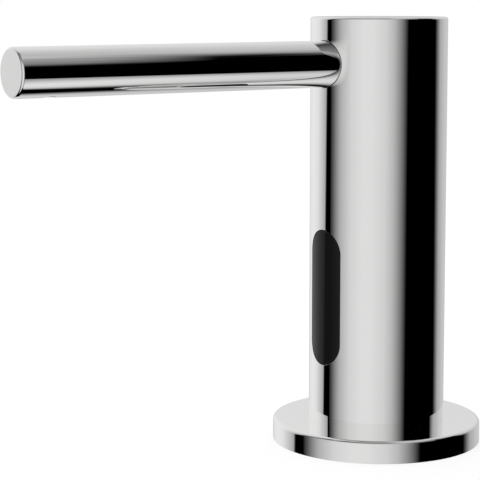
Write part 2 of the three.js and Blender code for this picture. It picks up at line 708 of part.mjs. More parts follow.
const washerBore = SHANK_RADIUS + PASS_GAP;
const rubberWasher = ring(washerBore, WASHER_RADIUS, RUBBER_LOW, -DECK_THICKNESS, CORE_FACETS);
piece(mounting, 'rubber_washer', rubberWasher, BLACK_RUBBER);
const steelWasher = ring(washerBore, WASHER_RADIUS, STEEL_LOW, RUBBER_LOW, CORE_FACETS);
piece(mounting, 'steel_washer', steelWasher, STEEL);

const nutCorner = NUT_FLATS / Math.sqrt(3);
const nutFace = nutCorner - NUT_CHAMFER * 2;
const nutTrim = turned([
  [0, NUT_LOW],
  [nutFace, NUT_LOW],
  [nutCorner, NUT_LOW + NUT_CHAMFER],
  [nutCorner, STEEL_LOW - NUT_CHAMFER],
  [nutFace, STEEL_LOW],
  [0, STEEL_LOW],
], CORE_FACETS);
const nutBore = rod(SHANK_RADIUS + RUN_GAP, NUT_LOW - OVERRUN, STEEL_LOW + OVERRUN, TOWER_FACETS);
const lockNut = hexBar(NUT_FLATS, NUT_LOW, STEEL_LOW).intersect(nutTrim).subtract(nutBore);
piece(mounting, 'lock_nut', lockNut, BRASS);

// Sensor unit, in a group that looks out through the window: X across, Y up, Z to the front.
const sensor = assembly(dispenser, 'sensor_unit');
sensor.rotation.x = Math.PI / 2;
sensor.position.z = WINDOW_CENTRE;

const stem = pill(STEM_HALF, LENS_BACK, BODY_RADIUS + OVERRUN)
  .intersect(uprightBar(BODY_RADIUS, WINDOW_HEIGHT, TOWER_FACETS));
const shoulder = pill(SHOULDER_HALF, LENS_BACK, BODY_RADIUS + OVERRUN)
  .intersect(uprightBar(SHOULDER_RADIUS, WINDOW_HEIGHT, TOWER_FACETS));
const pocket = pill(POCKET_HALF, 0, BODY_RADIUS + OVERRUN)
  .intersect(uprightBar(POCKET_RADIUS, WINDOW_HEIGHT, TOWER_FACETS));
piece(sensor, 'sensor_lens', stem.add(shoulder).subtract(pocket), BLACK_LENS);

const sealCut = pill(STEM_HALF + SEAL_STEM_GAP, 0, BODY_RADIUS + OVERRUN);
const seal = pill(SHOULDER_HALF, 0, BODY_RADIUS + OVERRUN)
  .subtract(sealCut)
  .intersect(uprightBar(BODY_BORE - SEAT_GAP, WINDOW_HEIGHT, TOWER_FACETS))
  .subtract(uprightBar(SHOULDER_RADIUS + SEAT_GAP, WINDOW_HEIGHT, TOWER_FACETS));
piece(sensor, 'lens_gasket', seal, BLACK_RUBBER);

let housing = pill(SHOULDER_HALF, HOUSING_BACK, LENS_BACK)
  .subtract(pill(CAVITY_HALF, CAVITY_BACK, LENS_BACK + OVERRUN));
const boardBoss = rod(BOSS_RADIUS, HOUSING_BACK, BOARD_BACK, SCREW_FACETS);
const boardPilotLow = BOARD_FRONT - BOARD_SCREW_LENGTH - SCREW_END_GAP;
const boardPilot = rod(SCREW_RADIUS + THREAD_GAP, boardPilotLow, LENS_BACK, SCREW_FACETS);
const housingBoss = rod(BOSS_RADIUS, HOUSING_BACK, CAVITY_BACK + BOSS_LENGTH, SCREW_FACETS);
const housingPilotHigh = HOUSING_BACK - SHEET + HOUSING_SCREW_LENGTH + SCREW_END_GAP;
const housingPilot = rod(SCREW_RADIUS + THREAD_GAP, 0, housingPilotHigh, SCREW_FACETS);
for (const up of [-1, 1]) {
  housing = housing
    .add(boardBoss.translate([0, up * BOARD_SCREW_RISE, 0]))
    .add(housingBoss.translate([0, up * HOUSING_SCREW_RISE, 0]))
    .subtract(boardPilot.translate([0, up * BOARD_SCREW_RISE, 0]))
    .subtract(housingPilot.translate([0, up * HOUSING_SCREW_RISE, 0]));
}
const leadHole = rod(LEAD_RADIUS + SLIP_GAP, 0, WINDOW_HEIGHT, SMALL_FACETS)
  .rotate([90, 0, 0])
  .translate([PLUG_SIDE, -WINDOW_STRAIGHT, LEAD_FRONT]);
piece(sensor, 'sensor_housing', housing.subtract(leadHole), DARK_PLASTIC);

const boardHole = rod(SCREW_RADIUS + SLIP_GAP, 0, BODY_RADIUS, SCREW_FACETS);
const board = pill(BOARD_HALF, BOARD_BACK, BOARD_FRONT)
  .subtract(boardHole.translate([0, BOARD_SCREW_RISE, 0]))
  .subtract(boardHole.translate([0, -BOARD_SCREW_RISE, 0]));
piece(sensor, 'sensor_board', board, GREEN_BOARD);

// Emitter above, receiver below, indicator between them, all standing on the board.
const dome = [];
for (let i = 0; i <= FILLET_STEPS; i += 1) {
  const angle = (i / FILLET_STEPS) * (Math.PI / 2);
  dome.push([Math.cos(angle), Math.sin(angle)]);
}
const emitterBody = turned([
  [0, 0],
  [EYE_RADIUS + EYE_RIM_WIDTH, 0],
  [EYE_RADIUS + EYE_RIM_WIDTH, EYE_RIM],
  [EYE_RADIUS, EYE_RIM],
  ...dome.map(([r, h]) => [r * EYE_RADIUS, EMITTER_BARREL + h * EYE_RADIUS]),
], SMALL_FACETS);
const emitter = piece(sensor, 'ir_emitter', emitterBody, TINTED_EYE);
emitter.position.set(0, EYE_RISE, BOARD_FRONT);
const receiverBody = turned([
  [0, 0],
  [EYE_RADIUS + EYE_RIM_WIDTH, 0],
  [EYE_RADIUS + EYE_RIM_WIDTH, EYE_RIM],
  [EYE_RADIUS, EYE_RIM],
  [EYE_RADIUS, RECEIVER_BARREL],
  [EYE_RADIUS - RECEIVER_BEVEL, RECEIVER_BARREL + RECEIVER_BEVEL],
  [0, RECEIVER_BARREL + RECEIVER_BEVEL],
], SMALL_FACETS);
const receiver = piece(sensor, 'ir_receiver', receiverBody, TINTED_EYE);
receiver.position.set(0, -EYE_RISE, BOARD_FRONT);
const lightBody = turned([
  [0, 0],
  [LIGHT_RADIUS, 0],
  ...dome.map(([r, h]) => [r * LIGHT_RADIUS, LIGHT_BARREL + h * LIGHT_RADIUS]),
], SMALL_FACETS);
const light = piece(sensor, 'status_led', lightBody, RED_LIGHT);
light.position.set(0, 0, BOARD_FRONT);

const chip = upright(CHIP_WIDTH, CHIP_LENGTH, CHIP_THICKNESS)
  .translate([0, CHIP_RISE, BOARD_BACK - CHIP_THICKNESS]);
piece(sensor, 'driver_chip', chip, DARK_PLASTIC);
const plug = upright(PLUG_WIDTH, PLUG_LENGTH, PLUG_THICKNESS)
  .translate([PLUG_SIDE, PLUG_LOW, BOARD_BACK - PLUG_THICKNESS]);
piece(sensor, 'board_plug', plug, PALE_PLASTIC);

for (const [name, up] of [['upper', 1], ['lower', -1]]) {
  const boardScrew = piece(sensor, `board_screw_${name}`, screw(BOARD_SCREW_LENGTH), STEEL);
  boardScrew.position.set(0, up * BOARD_SCREW_RISE, BOARD_FRONT);
  const rearScrew = piece(sensor, `housing_screw_${name}`, screw(HOUSING_SCREW_LENGTH), STEEL);
  rearScrew.rotation.x = Math.PI;
  rearScrew.position.set(0, up * HOUSING_SCREW_RISE, HOUSING_BACK - SHEET);
}

// The bracket: a ring foot on the insert and an upright strip behind the housing.
const carrier = assembly(dispenser, 'carrier');
const bracketHalf = BRACKET_WIDTH / 2;
const bracketOutline = new THREE.Shape([
  new THREE.Vector2(-LIP_RADIUS, INSERT_TOP),
  new THREE.Vector2(LIP_RADIUS, INSERT_TOP),
  new THREE.Vector2(LIP_RADIUS, INSERT_TOP + SHEET),
  new THREE.Vector2(bracketHalf, INSERT_TOP + BRACKET_SHOULDER),
  new THREE.Vector2(bracketHalf, BRACKET_TOP),
  new THREE.Vector2(-bracketHalf, BRACKET_TOP),
  new THREE.Vector2(-bracketHalf, INSERT_TOP + BRACKET_SHOULDER),
  new THREE.Vector2(-LIP_RADIUS, INSERT_TOP + SHEET),
]);
let bracket = prism(bracketOutline, HOUSING_BACK - SHEET, HOUSING_BACK, PILL_STEPS);
for (const up of [-1, 1]) {
  const hole = rod(SCREW_RADIUS + SLIP_GAP, 0, BODY_RADIUS, SCREW_FACETS);
  bracket = bracket.subtract(hole.translate([0, WINDOW_CENTRE + up * HOUSING_SCREW_RISE, 0]));
}
bracket = bracket
  .rotate([90, 0, 0])
  .add(ring(BRACKET_BORE, BRACKET_RADIUS, INSERT_TOP, INSERT_TOP + SHEET, PIPE_FACETS));
for (const side of [-1, 1]) {
  const hole = rod(SCREW_RADIUS + SLIP_GAP, 0, BODY_TOP, SCREW_FACETS);
  bracket = bracket.subtract(hole.translate([side * BRACKET_SCREW_SIDE, 0, 0]));
}
piece(carrier, 'sensor_bracket', bracket, STEEL);
for (const [name, side] of [['left', -1], ['right', 1]]) {
  const footScrew = piece(carrier, `bracket_screw_${name}`, screw(BRACKET_SCREW_LENGTH), STEEL);
  footScrew.position.set(side * BRACKET_SCREW_SIDE, 0, INSERT_TOP + SHEET);
}

// The lead from the board's plug down to the socket, with some slack on the way.
const leadTop = WINDOW_CENTRE + PLUG_LOW - LEAD_END_GAP;
const leadExit = WINDOW_CENTRE - WINDOW_STRAIGHT - SHOULDER_HALF;
const leadDrop = SOCKET_TOP - INSERT_TOP;
const [highSway, lowSway] = LEAD_SWAY_SHARES.map((share) => INSERT_TOP + leadDrop * share);
const leadPath = new THREE.CatmullRomCurve3([
  new THREE.Vector3(PLUG_SIDE, -LEAD_FRONT, leadTop),
  new THREE.Vector3(PLUG_SIDE, -LEAD_FRONT, leadExit),
  new THREE.Vector3(PLUG_SIDE, -LEAD_FRONT, INSERT_TOP),
  new THREE.Vector3(LEAD_SWAY, -LEAD_FRONT + LEAD_SWAY, highSway),
  new THREE.Vector3(-LEAD_SWAY, -SOCKET_FRONT + LEAD_SWAY, lowSway),
  new THREE.Vector3(0, -SOCKET_FRONT, (SOCKET_TOP + lowSway) / 2),
  new THREE.Vector3(0, -SOCKET_FRONT, SOCKET_TOP),
]);
piece(carrier, 'sensor_lead', swept(leadPath, LEAD_STEPS, LEAD_RADIUS, 0, LEAD_SIDES), DARK_PLASTIC);

const recessTop = SOCKET_BOTTOM + SOCKET_RECESS;
const recessRadius = SOCKET_RADIUS - SOCKET_WALL;
const socketBody = turned([
  [0, recessTop - SOCKET_PIN],
  [SOCKET_PIN_RADIUS, recessTop - SOCKET_PIN],
  [SOCKET_PIN_RADIUS, recessTop],
  [recessRadius, recessTop],
  [recessRadius, SOCKET_BOTTOM],
  [SOCKET_RADIUS, SOCKET_BOTTOM],
  [SOCKET_RADIUS, PLUG_BOTTOM - SOCKET_RIM],
  [SOCKET_RADIUS + SOCKET_RIM_WIDTH, PLUG_BOTTOM - SOCKET_RIM],
  [SOCKET_RADIUS + SOCKET_RIM_WIDTH, PLUG_BOTTOM],
  [SOCKET_RADIUS, PLUG_BOTTOM],
  [SOCKET_RADIUS, SOCKET_TOP],
  [0, SOCKET_TOP],
], SMALL_FACETS);
const socket = piece(carrier, 'lead_socket', socketBody, DARK_PLASTIC);
socket.position.y = -SOCKET_FRONT;

// Soap line: inlet, valve, connector, tube and nozzle, all on one upright axis behind the centre.
const line = assembly(dispenser, 'soap_line');
line.position.y = LINE_BACK;

const inletBody = turned([
  [COLLET_BORE, INLET_BOTTOM],
  [INLET_TAIL_RADIUS, INLET_BOTTOM],
  [INLET_TAIL_RADIUS, PLUG_BOTTOM - INLET_RIM],
  [INLET_RADIUS + INLET_RIM_WIDTH, PLUG_BOTTOM - INLET_RIM],
  [INLET_RADIUS + INLET_RIM_WIDTH, PLUG_BOTTOM],
  [INLET_RADIUS, PLUG_BOTTOM],
  [INLET_RADIUS, INLET_TOP],
  [VALVE_CHAMBER, INLET_TOP],
  [VALVE_CHAMBER, VALVE_SEAT],
  [VALVE_PORT, VALVE_SEAT],
  [VALVE_PORT, HOSE_STOP],
  [HOSE_RADIUS + HOSE_GAP, HOSE_STOP],
  [HOSE_RADIUS + HOSE_GAP, SEAL_TOP],
  [SEAL_BORE, SEAL_TOP],
  [SEAL_BORE, COLLET_STOP],
  [UNDERCUT_RADIUS, COLLET_STOP],
  [UNDERCUT_RADIUS, UNDERCUT_LOW],
  [COLLET_BORE, UNDERCUT_LOW],
  [COLLET_BORE, INLET_BOTTOM],
], RING_FACETS);
piece(line, 'inlet_body', inletBody, PALE_PLASTIC);

const hoseSeal = rubberRing(
  HOSE_RADIUS + HOSE_GAP,
  SEAL_BORE - SEAL_SECTION_GAP,
  COLLET_STOP + SEAL_SECTION_GAP,
  SEAL_TOP - SEAL_SECTION_GAP,
  RING_FACETS,
);
piece(line, 'hose_seal', hoseSeal, BLACK_RUBBER);

const colletLow = INLET_BOTTOM - COLLET_PRESS;
const lipLow = UNDERCUT_LOW + SEAT_GAP;
const collet = turned([
  [COLLET_INNER, colletLow - COLLET_RIM],
  [COLLET_OUTER + COLLET_RIM_WIDTH, colletLow - COLLET_RIM],
  [COLLET_OUTER + COLLET_RIM_WIDTH, colletLow],
  [COLLET_OUTER, colletLow],
  [COLLET_OUTER, lipLow],
  [UNDERCUT_RADIUS - SLIP_GAP, lipLow],
  [UNDERCUT_RADIUS - SLIP_GAP, lipLow + COLLET_LIP],
  [COLLET_INNER, lipLow + COLLET_LIP],
  [COLLET_INNER, colletLow - COLLET_RIM],
], RING_FACETS);
piece(line, 'release_collet', collet, BLUE_PLASTIC);

// The ball rests on the edge of the port, and a spring holds it down.
const ballHeight = VALVE_SEAT + SEAT_GAP + Math.sqrt(BALL_RADIUS ** 2 - VALVE_PORT ** 2);
const ballShape = new THREE.SphereGeometry(BALL_RADIUS, BALL_WIDTH_FACETS, BALL_HEIGHT_FACETS);
const ball = piece(line, 'valve_ball', solid(ballShape.rotateX(Math.PI / 2)), STEEL);
ball.position.z = ballHeight;

const springLow = ballHeight + Math.sqrt(BALL_RADIUS ** 2 - SPRING_RADIUS ** 2) + SPRING_END;
const springHigh = INLET_TOP - CONNECTOR_SPIGOT - SPRING_WIRE - SEAT_GAP;
const springPath = new SpringPath(SPRING_RADIUS, springLow, springHigh, SPRING_TURNS);
const springSteps = SPRING_TURNS * SPRING_STEPS_A_TURN;
piece(line, 'valve_spring', swept(springPath, springSteps, SPRING_WIRE, 0, SPRING_SIDES), STEEL);

// A ridged barb for the soft tube, its root at zero, pointing along +Z.
function barbProfile() {
  const tip = TUBE_BORE - BARB_GAP;
  const pitch = BARB_LENGTH / BARB_RIDGES;
  const points = [[BARB_NECK, 0]];
  for (let i = 0; i < BARB_RIDGES; i += 1) {
    const step = (i + BARB_NECK_SHARE) * pitch;
    points.push([BARB_NECK, step], [tip, step + BARB_STEP_SHARE * pitch], [BARB_NECK, (i + 1) * pitch]);
  }
  return points;
}

const collarTop = INLET_TOP + CONNECTOR_COLLAR;
const connector = turned([
  [BARB_BORE, INLET_TOP - CONNECTOR_SPIGOT],
  [VALVE_CHAMBER - THREAD_GAP, INLET_TOP - CONNECTOR_SPIGOT],
  [VALVE_CHAMBER - THREAD_GAP, INLET_TOP],
  [INLET_RADIUS - CONNECTOR_INSET, INLET_TOP],
  [INLET_RADIUS - CONNECTOR_INSET, collarTop],
  ...barbProfile().map(([r, h]) => [r, collarTop + h]),
  [BARB_BORE, collarTop + BARB_LENGTH],
  [BARB_BORE, INLET_TOP - CONNECTOR_SPIGOT],
], RING_FACETS);
piece(line, 'tube_connector', connector, PALE_PLASTIC);

// The tube rises from the connector, bends forwards and runs along the spout to the nozzle.
const tubeLow = collarTop + TUBE_END_GAP;
const bendBase = SPOUT_HEIGHT - BEND_RADIUS;
const stations = [new THREE.Vector3(0, 0, tubeLow)];
for (let i = 0; i <= BEND_STEPS; i += 1) {
  const angle = (i / BEND_STEPS) * (Math.PI / 2);
  const back = -BEND_RADIUS + BEND_RADIUS * Math.cos(angle);
  stations.push(new THREE.Vector3(0, back, bendBase + BEND_RADIUS * Math.sin(angle)));
}
stations.push(new THREE.Vector3(0, -NOZZLE_BACK - LINE_BACK + TUBE_END_GAP, SPOUT_HEIGHT));
const tubePath = new StationPath(stations);
const tubeBody = swept(tubePath, stations.length - 1, TUBE_RADIUS, TUBE_BORE, TUBE_STEPS);
piece(line, 'soap_tube', tubeBody, CLEAR_TUBE);

const ferruleInner = TUBE_RADIUS + SLIP_GAP;
const ferruleOuter = ferruleInner + FERRULE_THICKNESS;
const ferrule = ring(ferruleInner, ferruleOuter, 0, FERRULE_LENGTH, SMALL_FACETS);
const lowerFerrule = piece(line, 'lower_ferrule', ferrule, STEEL);
lowerFerrule.position.z = collarTop + FERRULE_INSET;

// Spout, in a group with Z outwards along the spout, Y up and X across.
const spout = assembly(dispenser, 'spout');
spout.rotation.x = Math.PI / 2;
spout.position.z = SPOUT_HEIGHT;

const towerBar = uprightBar(BODY_RADIUS + SEAT_GAP, BODY_RADIUS, TOWER_FACETS);
const spoutOuter = rod(SPOUT_RADIUS, 0, END_SEAM, PIPE_FACETS).subtract(towerBar);
const spoutTail = rod(TAIL_RADIUS, TAIL_END, TAIL_BUSH_END, PIPE_FACETS);
const spoutBores = rod(SPOUT_BORE, TAIL_BUSH_END, SPOUT_REACH, PIPE_FACETS)
  .add(rod(TAIL_BORE, 0, SPOUT_REACH, PIPE_FACETS));
const nozzleHole = rod(NOZZLE_RADIUS + RUN_GAP, 0, SPOUT_RADIUS + OVERRUN, SMALL_FACETS)
  .rotate([90, 0, 0])
  .translate([0, 0, NOZZLE_REACH]);
const spoutTube = spoutOuter.add(spoutTail).subtract(spoutBores).subtract(nozzleHole);
piece(spout, 'spout_tube', spoutTube, CHROME);

const endPlugBody = turned([
  [0, END_SEAM - END_SPIGOT],
  [SPOUT_BORE - RUN_GAP, END_SEAM - END_SPIGOT],
  [SPOUT_BORE - RUN_GAP, END_SEAM],
  [SPOUT_RADIUS, END_SEAM],
  ...upperEdge(SPOUT_RADIUS, SPOUT_REACH, SPOUT_EDGE),
  [0, SPOUT_REACH],
], PIPE_FACETS);
piece(spout, 'spout_end_plug', endPlugBody, CHROME);

// Inside the tower a curved saddle washer and a nut draw the spout home.
const saddle = ring(TAIL_RADIUS + RUN_GAP, SADDLE_RADIUS, SADDLE_FLAT, BODY_RADIUS, CORE_FACETS)
  .intersect(uprightBar(BODY_BORE - SEAT_GAP, BODY_RADIUS, TOWER_FACETS));
piece(spout, 'spout_saddle_washer', saddle, BRASS);
const tailNut = hexBar(TAIL_NUT_FLATS, SADDLE_FLAT - TAIL_NUT, SADDLE_FLAT)
  .subtract(rod(TAIL_RADIUS + RUN_GAP, 0, BODY_RADIUS, PIPE_FACETS));
piece(spout, 'spout_nut', tailNut, BRASS);

const spacer = ring(TUBE_RADIUS + SLIP_GAP, SPOUT_BORE - RUN_GAP, 0, SPACER_LENGTH, SMALL_FACETS);
const tubeSpacer = piece(spout, 'tube_spacer', spacer, DARK_PLASTIC);
tubeSpacer.position.z = SPACER_REACH;

const upperFerrule = piece(spout, 'upper_ferrule', ferrule, STEEL);
upperFerrule.position.z = NOZZLE_BACK - FERRULE_INSET - FERRULE_LENGTH;

const nozzleBlank = turned([
  [BARB_BORE, NOZZLE_BACK - BARB_LENGTH],
  ...barbProfile().reverse().map(([r, h]) => [r, NOZZLE_BACK - h]),
  [SPOUT_BORE - RUN_GAP, NOZZLE_BACK],
  [SPOUT_BORE - RUN_GAP, NOZZLE_FRONT],
  [0, NOZZLE_FRONT],
  [0, NOZZLE_REACH],
  [BARB_BORE, NOZZLE_REACH],
  [BARB_BORE, NOZZLE_BACK - BARB_LENGTH],
], RING_FACETS);
const nozzleDrop = rod(NOZZLE_BORE, 0, SPOUT_RADIUS, SMALL_FACETS)
  .rotate([90, 0, 0])
  .translate([0, 0, NOZZLE_REACH]);
const nozzleSeat = rod(NOZZLE_RADIUS + THREAD_GAP, NOZZLE_TOP, SPOUT_RADIUS, SMALL_FACETS)
  .rotate([90, 0, 0])
  .translate([0, 0, NOZZLE_REACH]);
piece(spout, 'nozzle_body', nozzleBlank.subtract(nozzleDrop).subtract(nozzleSeat), PALE_PLASTIC);

const tipTrim = rod(SPOUT_RADIUS - NOZZLE_RECESS, 0, SPOUT_REACH, PIPE_FACETS);
const nozzleTip = ring(NOZZLE_BORE, NOZZLE_RADIUS, NOZZLE_TOP, SPOUT_RADIUS, SMALL_FACETS)
  .rotate([90, 0, 0])
  .translate([0, 0, NOZZLE_REACH])
  .intersect(tipTrim);
piece(spout, 'nozzle_tip', nozzleTip, DARK_PLASTIC);

export default dispenser;
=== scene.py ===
# %% [markdown]
# # A touch-free soap dispenser in chrome
# The dispenser stands on a washbasin deck. It is a round tower on a flange, with a level spout near its top
# and a black sensor window low on its front. Everything that shows above the deck is polished chrome, so the
# likeness lies in two things: outlines without a visible facet, and what the chrome mirrors. The CAD model
# comes in first. It gives every size and place, and each piece made here sits where its node sits.

import json
import math

import bmesh
import bpy
from mathutils import Matrix, Vector

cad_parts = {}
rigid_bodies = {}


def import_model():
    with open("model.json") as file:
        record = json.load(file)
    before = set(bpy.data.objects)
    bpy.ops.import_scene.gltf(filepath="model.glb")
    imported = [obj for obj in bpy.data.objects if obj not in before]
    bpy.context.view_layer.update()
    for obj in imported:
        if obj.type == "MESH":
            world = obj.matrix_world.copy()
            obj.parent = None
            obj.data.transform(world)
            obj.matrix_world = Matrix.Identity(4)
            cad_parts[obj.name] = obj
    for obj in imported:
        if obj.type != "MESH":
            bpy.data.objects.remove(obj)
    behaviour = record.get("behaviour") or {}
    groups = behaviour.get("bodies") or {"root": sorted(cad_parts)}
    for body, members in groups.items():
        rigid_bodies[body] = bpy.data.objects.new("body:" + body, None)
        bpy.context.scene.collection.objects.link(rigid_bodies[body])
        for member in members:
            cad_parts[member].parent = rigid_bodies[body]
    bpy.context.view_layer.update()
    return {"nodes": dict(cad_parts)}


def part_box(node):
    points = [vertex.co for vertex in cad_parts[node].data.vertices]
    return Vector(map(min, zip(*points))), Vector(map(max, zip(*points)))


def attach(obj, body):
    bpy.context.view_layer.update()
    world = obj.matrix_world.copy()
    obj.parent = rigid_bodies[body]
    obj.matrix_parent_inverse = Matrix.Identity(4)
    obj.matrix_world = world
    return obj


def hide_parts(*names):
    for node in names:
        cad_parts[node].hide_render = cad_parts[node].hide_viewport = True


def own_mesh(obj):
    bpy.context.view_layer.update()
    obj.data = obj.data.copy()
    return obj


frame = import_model()

# %% [markdown]
# ## Sizes from the frame
# Blender works in metres. The main sizes are read from the boxes of the CAD nodes, so the dressed pieces
# can't drift from the solids. Only what a box doesn't show, such as an edge rounding, is typed here.

# %% Sizes
MM = 0.001
TAU = math.tau
NOWHERE = 1e-9
ON_CURVE = 0.01 * MM
ON_FACE = 0.001 * MM

tower_low, tower_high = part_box("body_shell")
TOWER_RADIUS = tower_high.x
TOWER_TOP = tower_high.z
TOWER_FOOT = tower_low.z
TOWER_WALL = 2 * MM
TOWER_ROOF = 2.5 * MM
TOWER_EDGE = 0.7 * MM
flange_low, flange_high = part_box("escutcheon")
FLANGE_RADIUS = flange_high.x
FLANGE_TOP = flange_high.z
FLANGE_EDGE = 1.1 * MM
spout_low, spout_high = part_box("spout_tube")
SPOUT_RADIUS = spout_high.x
SPOUT_HEIGHT = (spout_low.z + spout_high.z) / 2
SPOUT_SEAM = -spout_low.y
SPOUT_TAIL = -spout_high.y
SPOUT_REACH = -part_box("spout_end_plug")[0].y
print("tower radius", TOWER_RADIUS, "top", TOWER_TOP, "spout at", SPOUT_HEIGHT, "reaches", SPOUT_REACH)

# %% [markdown]
# ## The camera
# The photograph is 480 pixels wide. Five families of edges, the tower's sides, its top, the flange, the spout
# and the window, were fitted together to find the lens. The camera stands just above the height of the spout
# and looks slightly down. The picture's centre lies below the lens's axis, hence the vertical shift.

# %% Camera
PHOTO_WIDTH = 480
FOCAL_PIXELS = 1719
SENSOR_WIDTH = 36
AXIS_ROW = 182.9
CAMERA_DISTANCE = 0.5301
CAMERA_HEIGHT = 0.1384
CAMERA_AZIMUTH = math.radians(51.50)
CAMERA_YAW = math.radians(4.61)
CAMERA_PITCH = math.radians(-6.29)


def placed(name, data):
    obj = bpy.data.objects.new(name, data)
    bpy.context.scene.collection.objects.link(obj)
    return obj


def aim(obj, direction):
    obj.rotation_mode = "QUATERNION"
    obj.rotation_quaternion = direction.to_track_quat("-Z", "Y")


camera_data = bpy.data.cameras.new("camera")
camera_data.sensor_width = SENSOR_WIDTH
camera_data.lens = FOCAL_PIXELS * SENSOR_WIDTH / PHOTO_WIDTH
camera_data.shift_y = (AXIS_ROW - PHOTO_WIDTH / 2) / PHOTO_WIDTH
camera = placed("camera", camera_data)
camera.location = (
    CAMERA_DISTANCE * math.sin(CAMERA_AZIMUTH),
    -CAMERA_DISTANCE * math.cos(CAMERA_AZIMUTH),
    CAMERA_HEIGHT,
)
look = CAMERA_AZIMUTH + CAMERA_YAW
sight = Vector((
    -math.sin(look) * math.cos(CAMERA_PITCH),
    math.cos(look) * math.cos(CAMERA_PITCH),
    math.sin(CAMERA_PITCH),
))
aim(camera, sight)
bpy.context.scene.camera = camera
print("lens", round(camera_data.lens, 2), "mm, shift", round(camera_data.shift_y, 4))

# %% [markdown]
# ## Outlines with rounded corners
# Almost every piece is turned, so it is drawn as a half section and spun round an axis. A polished edge is
# never sharp: a corner may carry a rounding, laid in as an arc that meets its neighbours smoothly. Each point
# keeps the direction that the surface faces just before it and just after it. On a mirror those directions
# matter more than the points, because a reflection shows every one that is wrong.

# %% Rounded outline
ROUND_STEPS = 6


def turn_by(vector, angle):
    return Matrix.Rotation(angle, 2) @ vector


def outline(corners, closed):
    """Corners are (radius, height) or (radius, height, rounding), the material on the left of the way."""
    points = []
    for i, (radius, height, *rounding) in enumerate(corners):
        corner = Vector((radius, height))
        last = Vector(corners[i - 1][:2])
        following = Vector(corners[(i + 1) % len(corners)][:2])
        if not closed and i == 0:
            last = 2 * corner - following
        if not closed and i == len(corners) - 1:
            following = 2 * corner - last
        before, after = (corner - last).normalized(), (following - corner).normalized()
        facing_before, facing_after = Vector((before.y, -before.x)), Vector((after.y, -after.x))
        if not rounding:
            points.append((corner, facing_before, facing_after))
            continue
        bend = math.atan2(before.x * after.y - before.y * after.x, before.dot(after))
        side = math.copysign(rounding[0], bend)
        centre = corner - before * rounding[0] * math.tan(abs(bend) / 2) - facing_before * side
        for step in range(ROUND_STEPS + 1):
            facing = turn_by(facing_before, bend * step / ROUND_STEPS)
            points.append((centre + facing * side, facing, facing))
    return points


square = outline([(0, 0), (2, 0, 0.5), (2, 1), (0, 1)], closed=False)
print("a rounded square corner has", len(square), "points")

# %% [markdown]
# ## Turned pieces
# The half section is copied round the axis and joined into rings of faces. The outline's directions become
# the mesh's own corner normals, so a flat stays flat up to its very edge and a rounding starts exactly there.

# %% Turning
FACETS = 256
SOME_FACETS = 128
FEW_FACETS = 96
UPRIGHT = Matrix.Identity(4)
ALONG_SPOUT = Matrix.Translation((0, 0, SPOUT_HEIGHT)) @ Matrix.Rotation(math.pi / 2, 4, "X")


def polar(reach, angle, height):
    return Vector((reach * math.cos(angle), reach * math.sin(angle), height))


def turned(name, corners, closed=False, facets=FACETS, place=UPRIGHT):
    points = outline(corners, closed)
    verts, rings = [], []
    for point, _, _ in points:
        first = len(verts)
        if point.x < NOWHERE:
            verts.append(place @ Vector((0, 0, point.y)))
            rings.append([first] * facets)
            continue
        verts.extend(place @ polar(point.x, TAU * k / facets, point.y) for k in range(facets))
        rings.append(range(first, first + facets))
    faces, normals = [], []
    spin = place.to_3x3()
    for i in range(len(points) if closed else len(points) - 1):
        j = (i + 1) % len(points)
        for k in range(facets):
            corners_here = [(i, k), (i, k + 1), (j, k + 1), (j, k)]
            face, facing = [], []
            for ring, step in corners_here:
                vertex = rings[ring][step % facets]
                if vertex in face:
                    continue
                across, up = points[ring][2] if ring == i else points[ring][1]
                face.append(vertex)
                facing.append(spin @ polar(across, TAU * step / facets, up))
            if len(face) > 2:
                faces.append(face)
                normals.extend(facing)
    mesh = bpy.data.meshes.new(name)
    mesh.from_pydata(verts, [], faces)
    mesh.shade_smooth()
    mesh.normals_split_custom_set(normals)
    return mesh


# %% [markdown]
# ## Cutting and polishing
# The tower has three openings. A boolean cut makes them, but it forgets the corner normals, so a cut piece is
# polished afterwards: a small rule says which way the true surface faces at a point, and each corner that
# lies on that surface takes it. All other corners keep what the sharp and smooth edges give them.

# %% Cutting and polishing
SHARP = math.radians(32)
SAME_SURFACE = 0.985


def combine(mesh, tools, operation="DIFFERENCE"):
    blank = placed("blank", mesh)
    helpers = [placed("tool", tool) for tool in tools]
    for helper in helpers:
        cut = blank.modifiers.new("cut", "BOOLEAN")
        cut.object, cut.operation, cut.solver = helper, operation, "EXACT"
    bpy.context.view_layer.update()
    made = bpy.data.meshes.new_from_object(blank.evaluated_get(bpy.context.evaluated_depsgraph_get()))
    made.name = mesh.name
    for obj in [blank, *helpers]:
        bpy.data.objects.remove(obj)
    return made


def polished(mesh, true_facings=()):
    mesh.shade_smooth()
    mesh.set_sharp_from_angle(angle=SHARP)
    normals = [Vector(corner.vector) for corner in mesh.corner_normals]
    for face in mesh.polygons:
        for loop in face.loop_indices:
            point = mesh.vertices[mesh.loops[loop].vertex_index].co
            for true_facing in true_facings:
                facing = true_facing(point)
                if facing and facing.dot(face.normal) > SAME_SURFACE:
                    normals[loop] = facing
    mesh.normals_split_custom_set(normals)
    return mesh


def round_wall(radius, tolerance=ON_CURVE):
    """The rule for an upright cylinder about the tower's axis."""

    def facing(point):
        reach = math.hypot(point.x, point.y)
        return Vector((point.x / reach, point.y / reach, 0)) if abs(reach - radius) < tolerance else None

    return facing


# %% [markdown]
# ## Effects that several finishes share
# No real surface has one colour and one gloss. Six small effects are built once as node groups and placed in
# each material with its own values. All of them read the object's own coordinates, so they stay on the piece
# when it moves. Lengths are in metres, so a scale of 1000 is a pattern about a millimetre across.

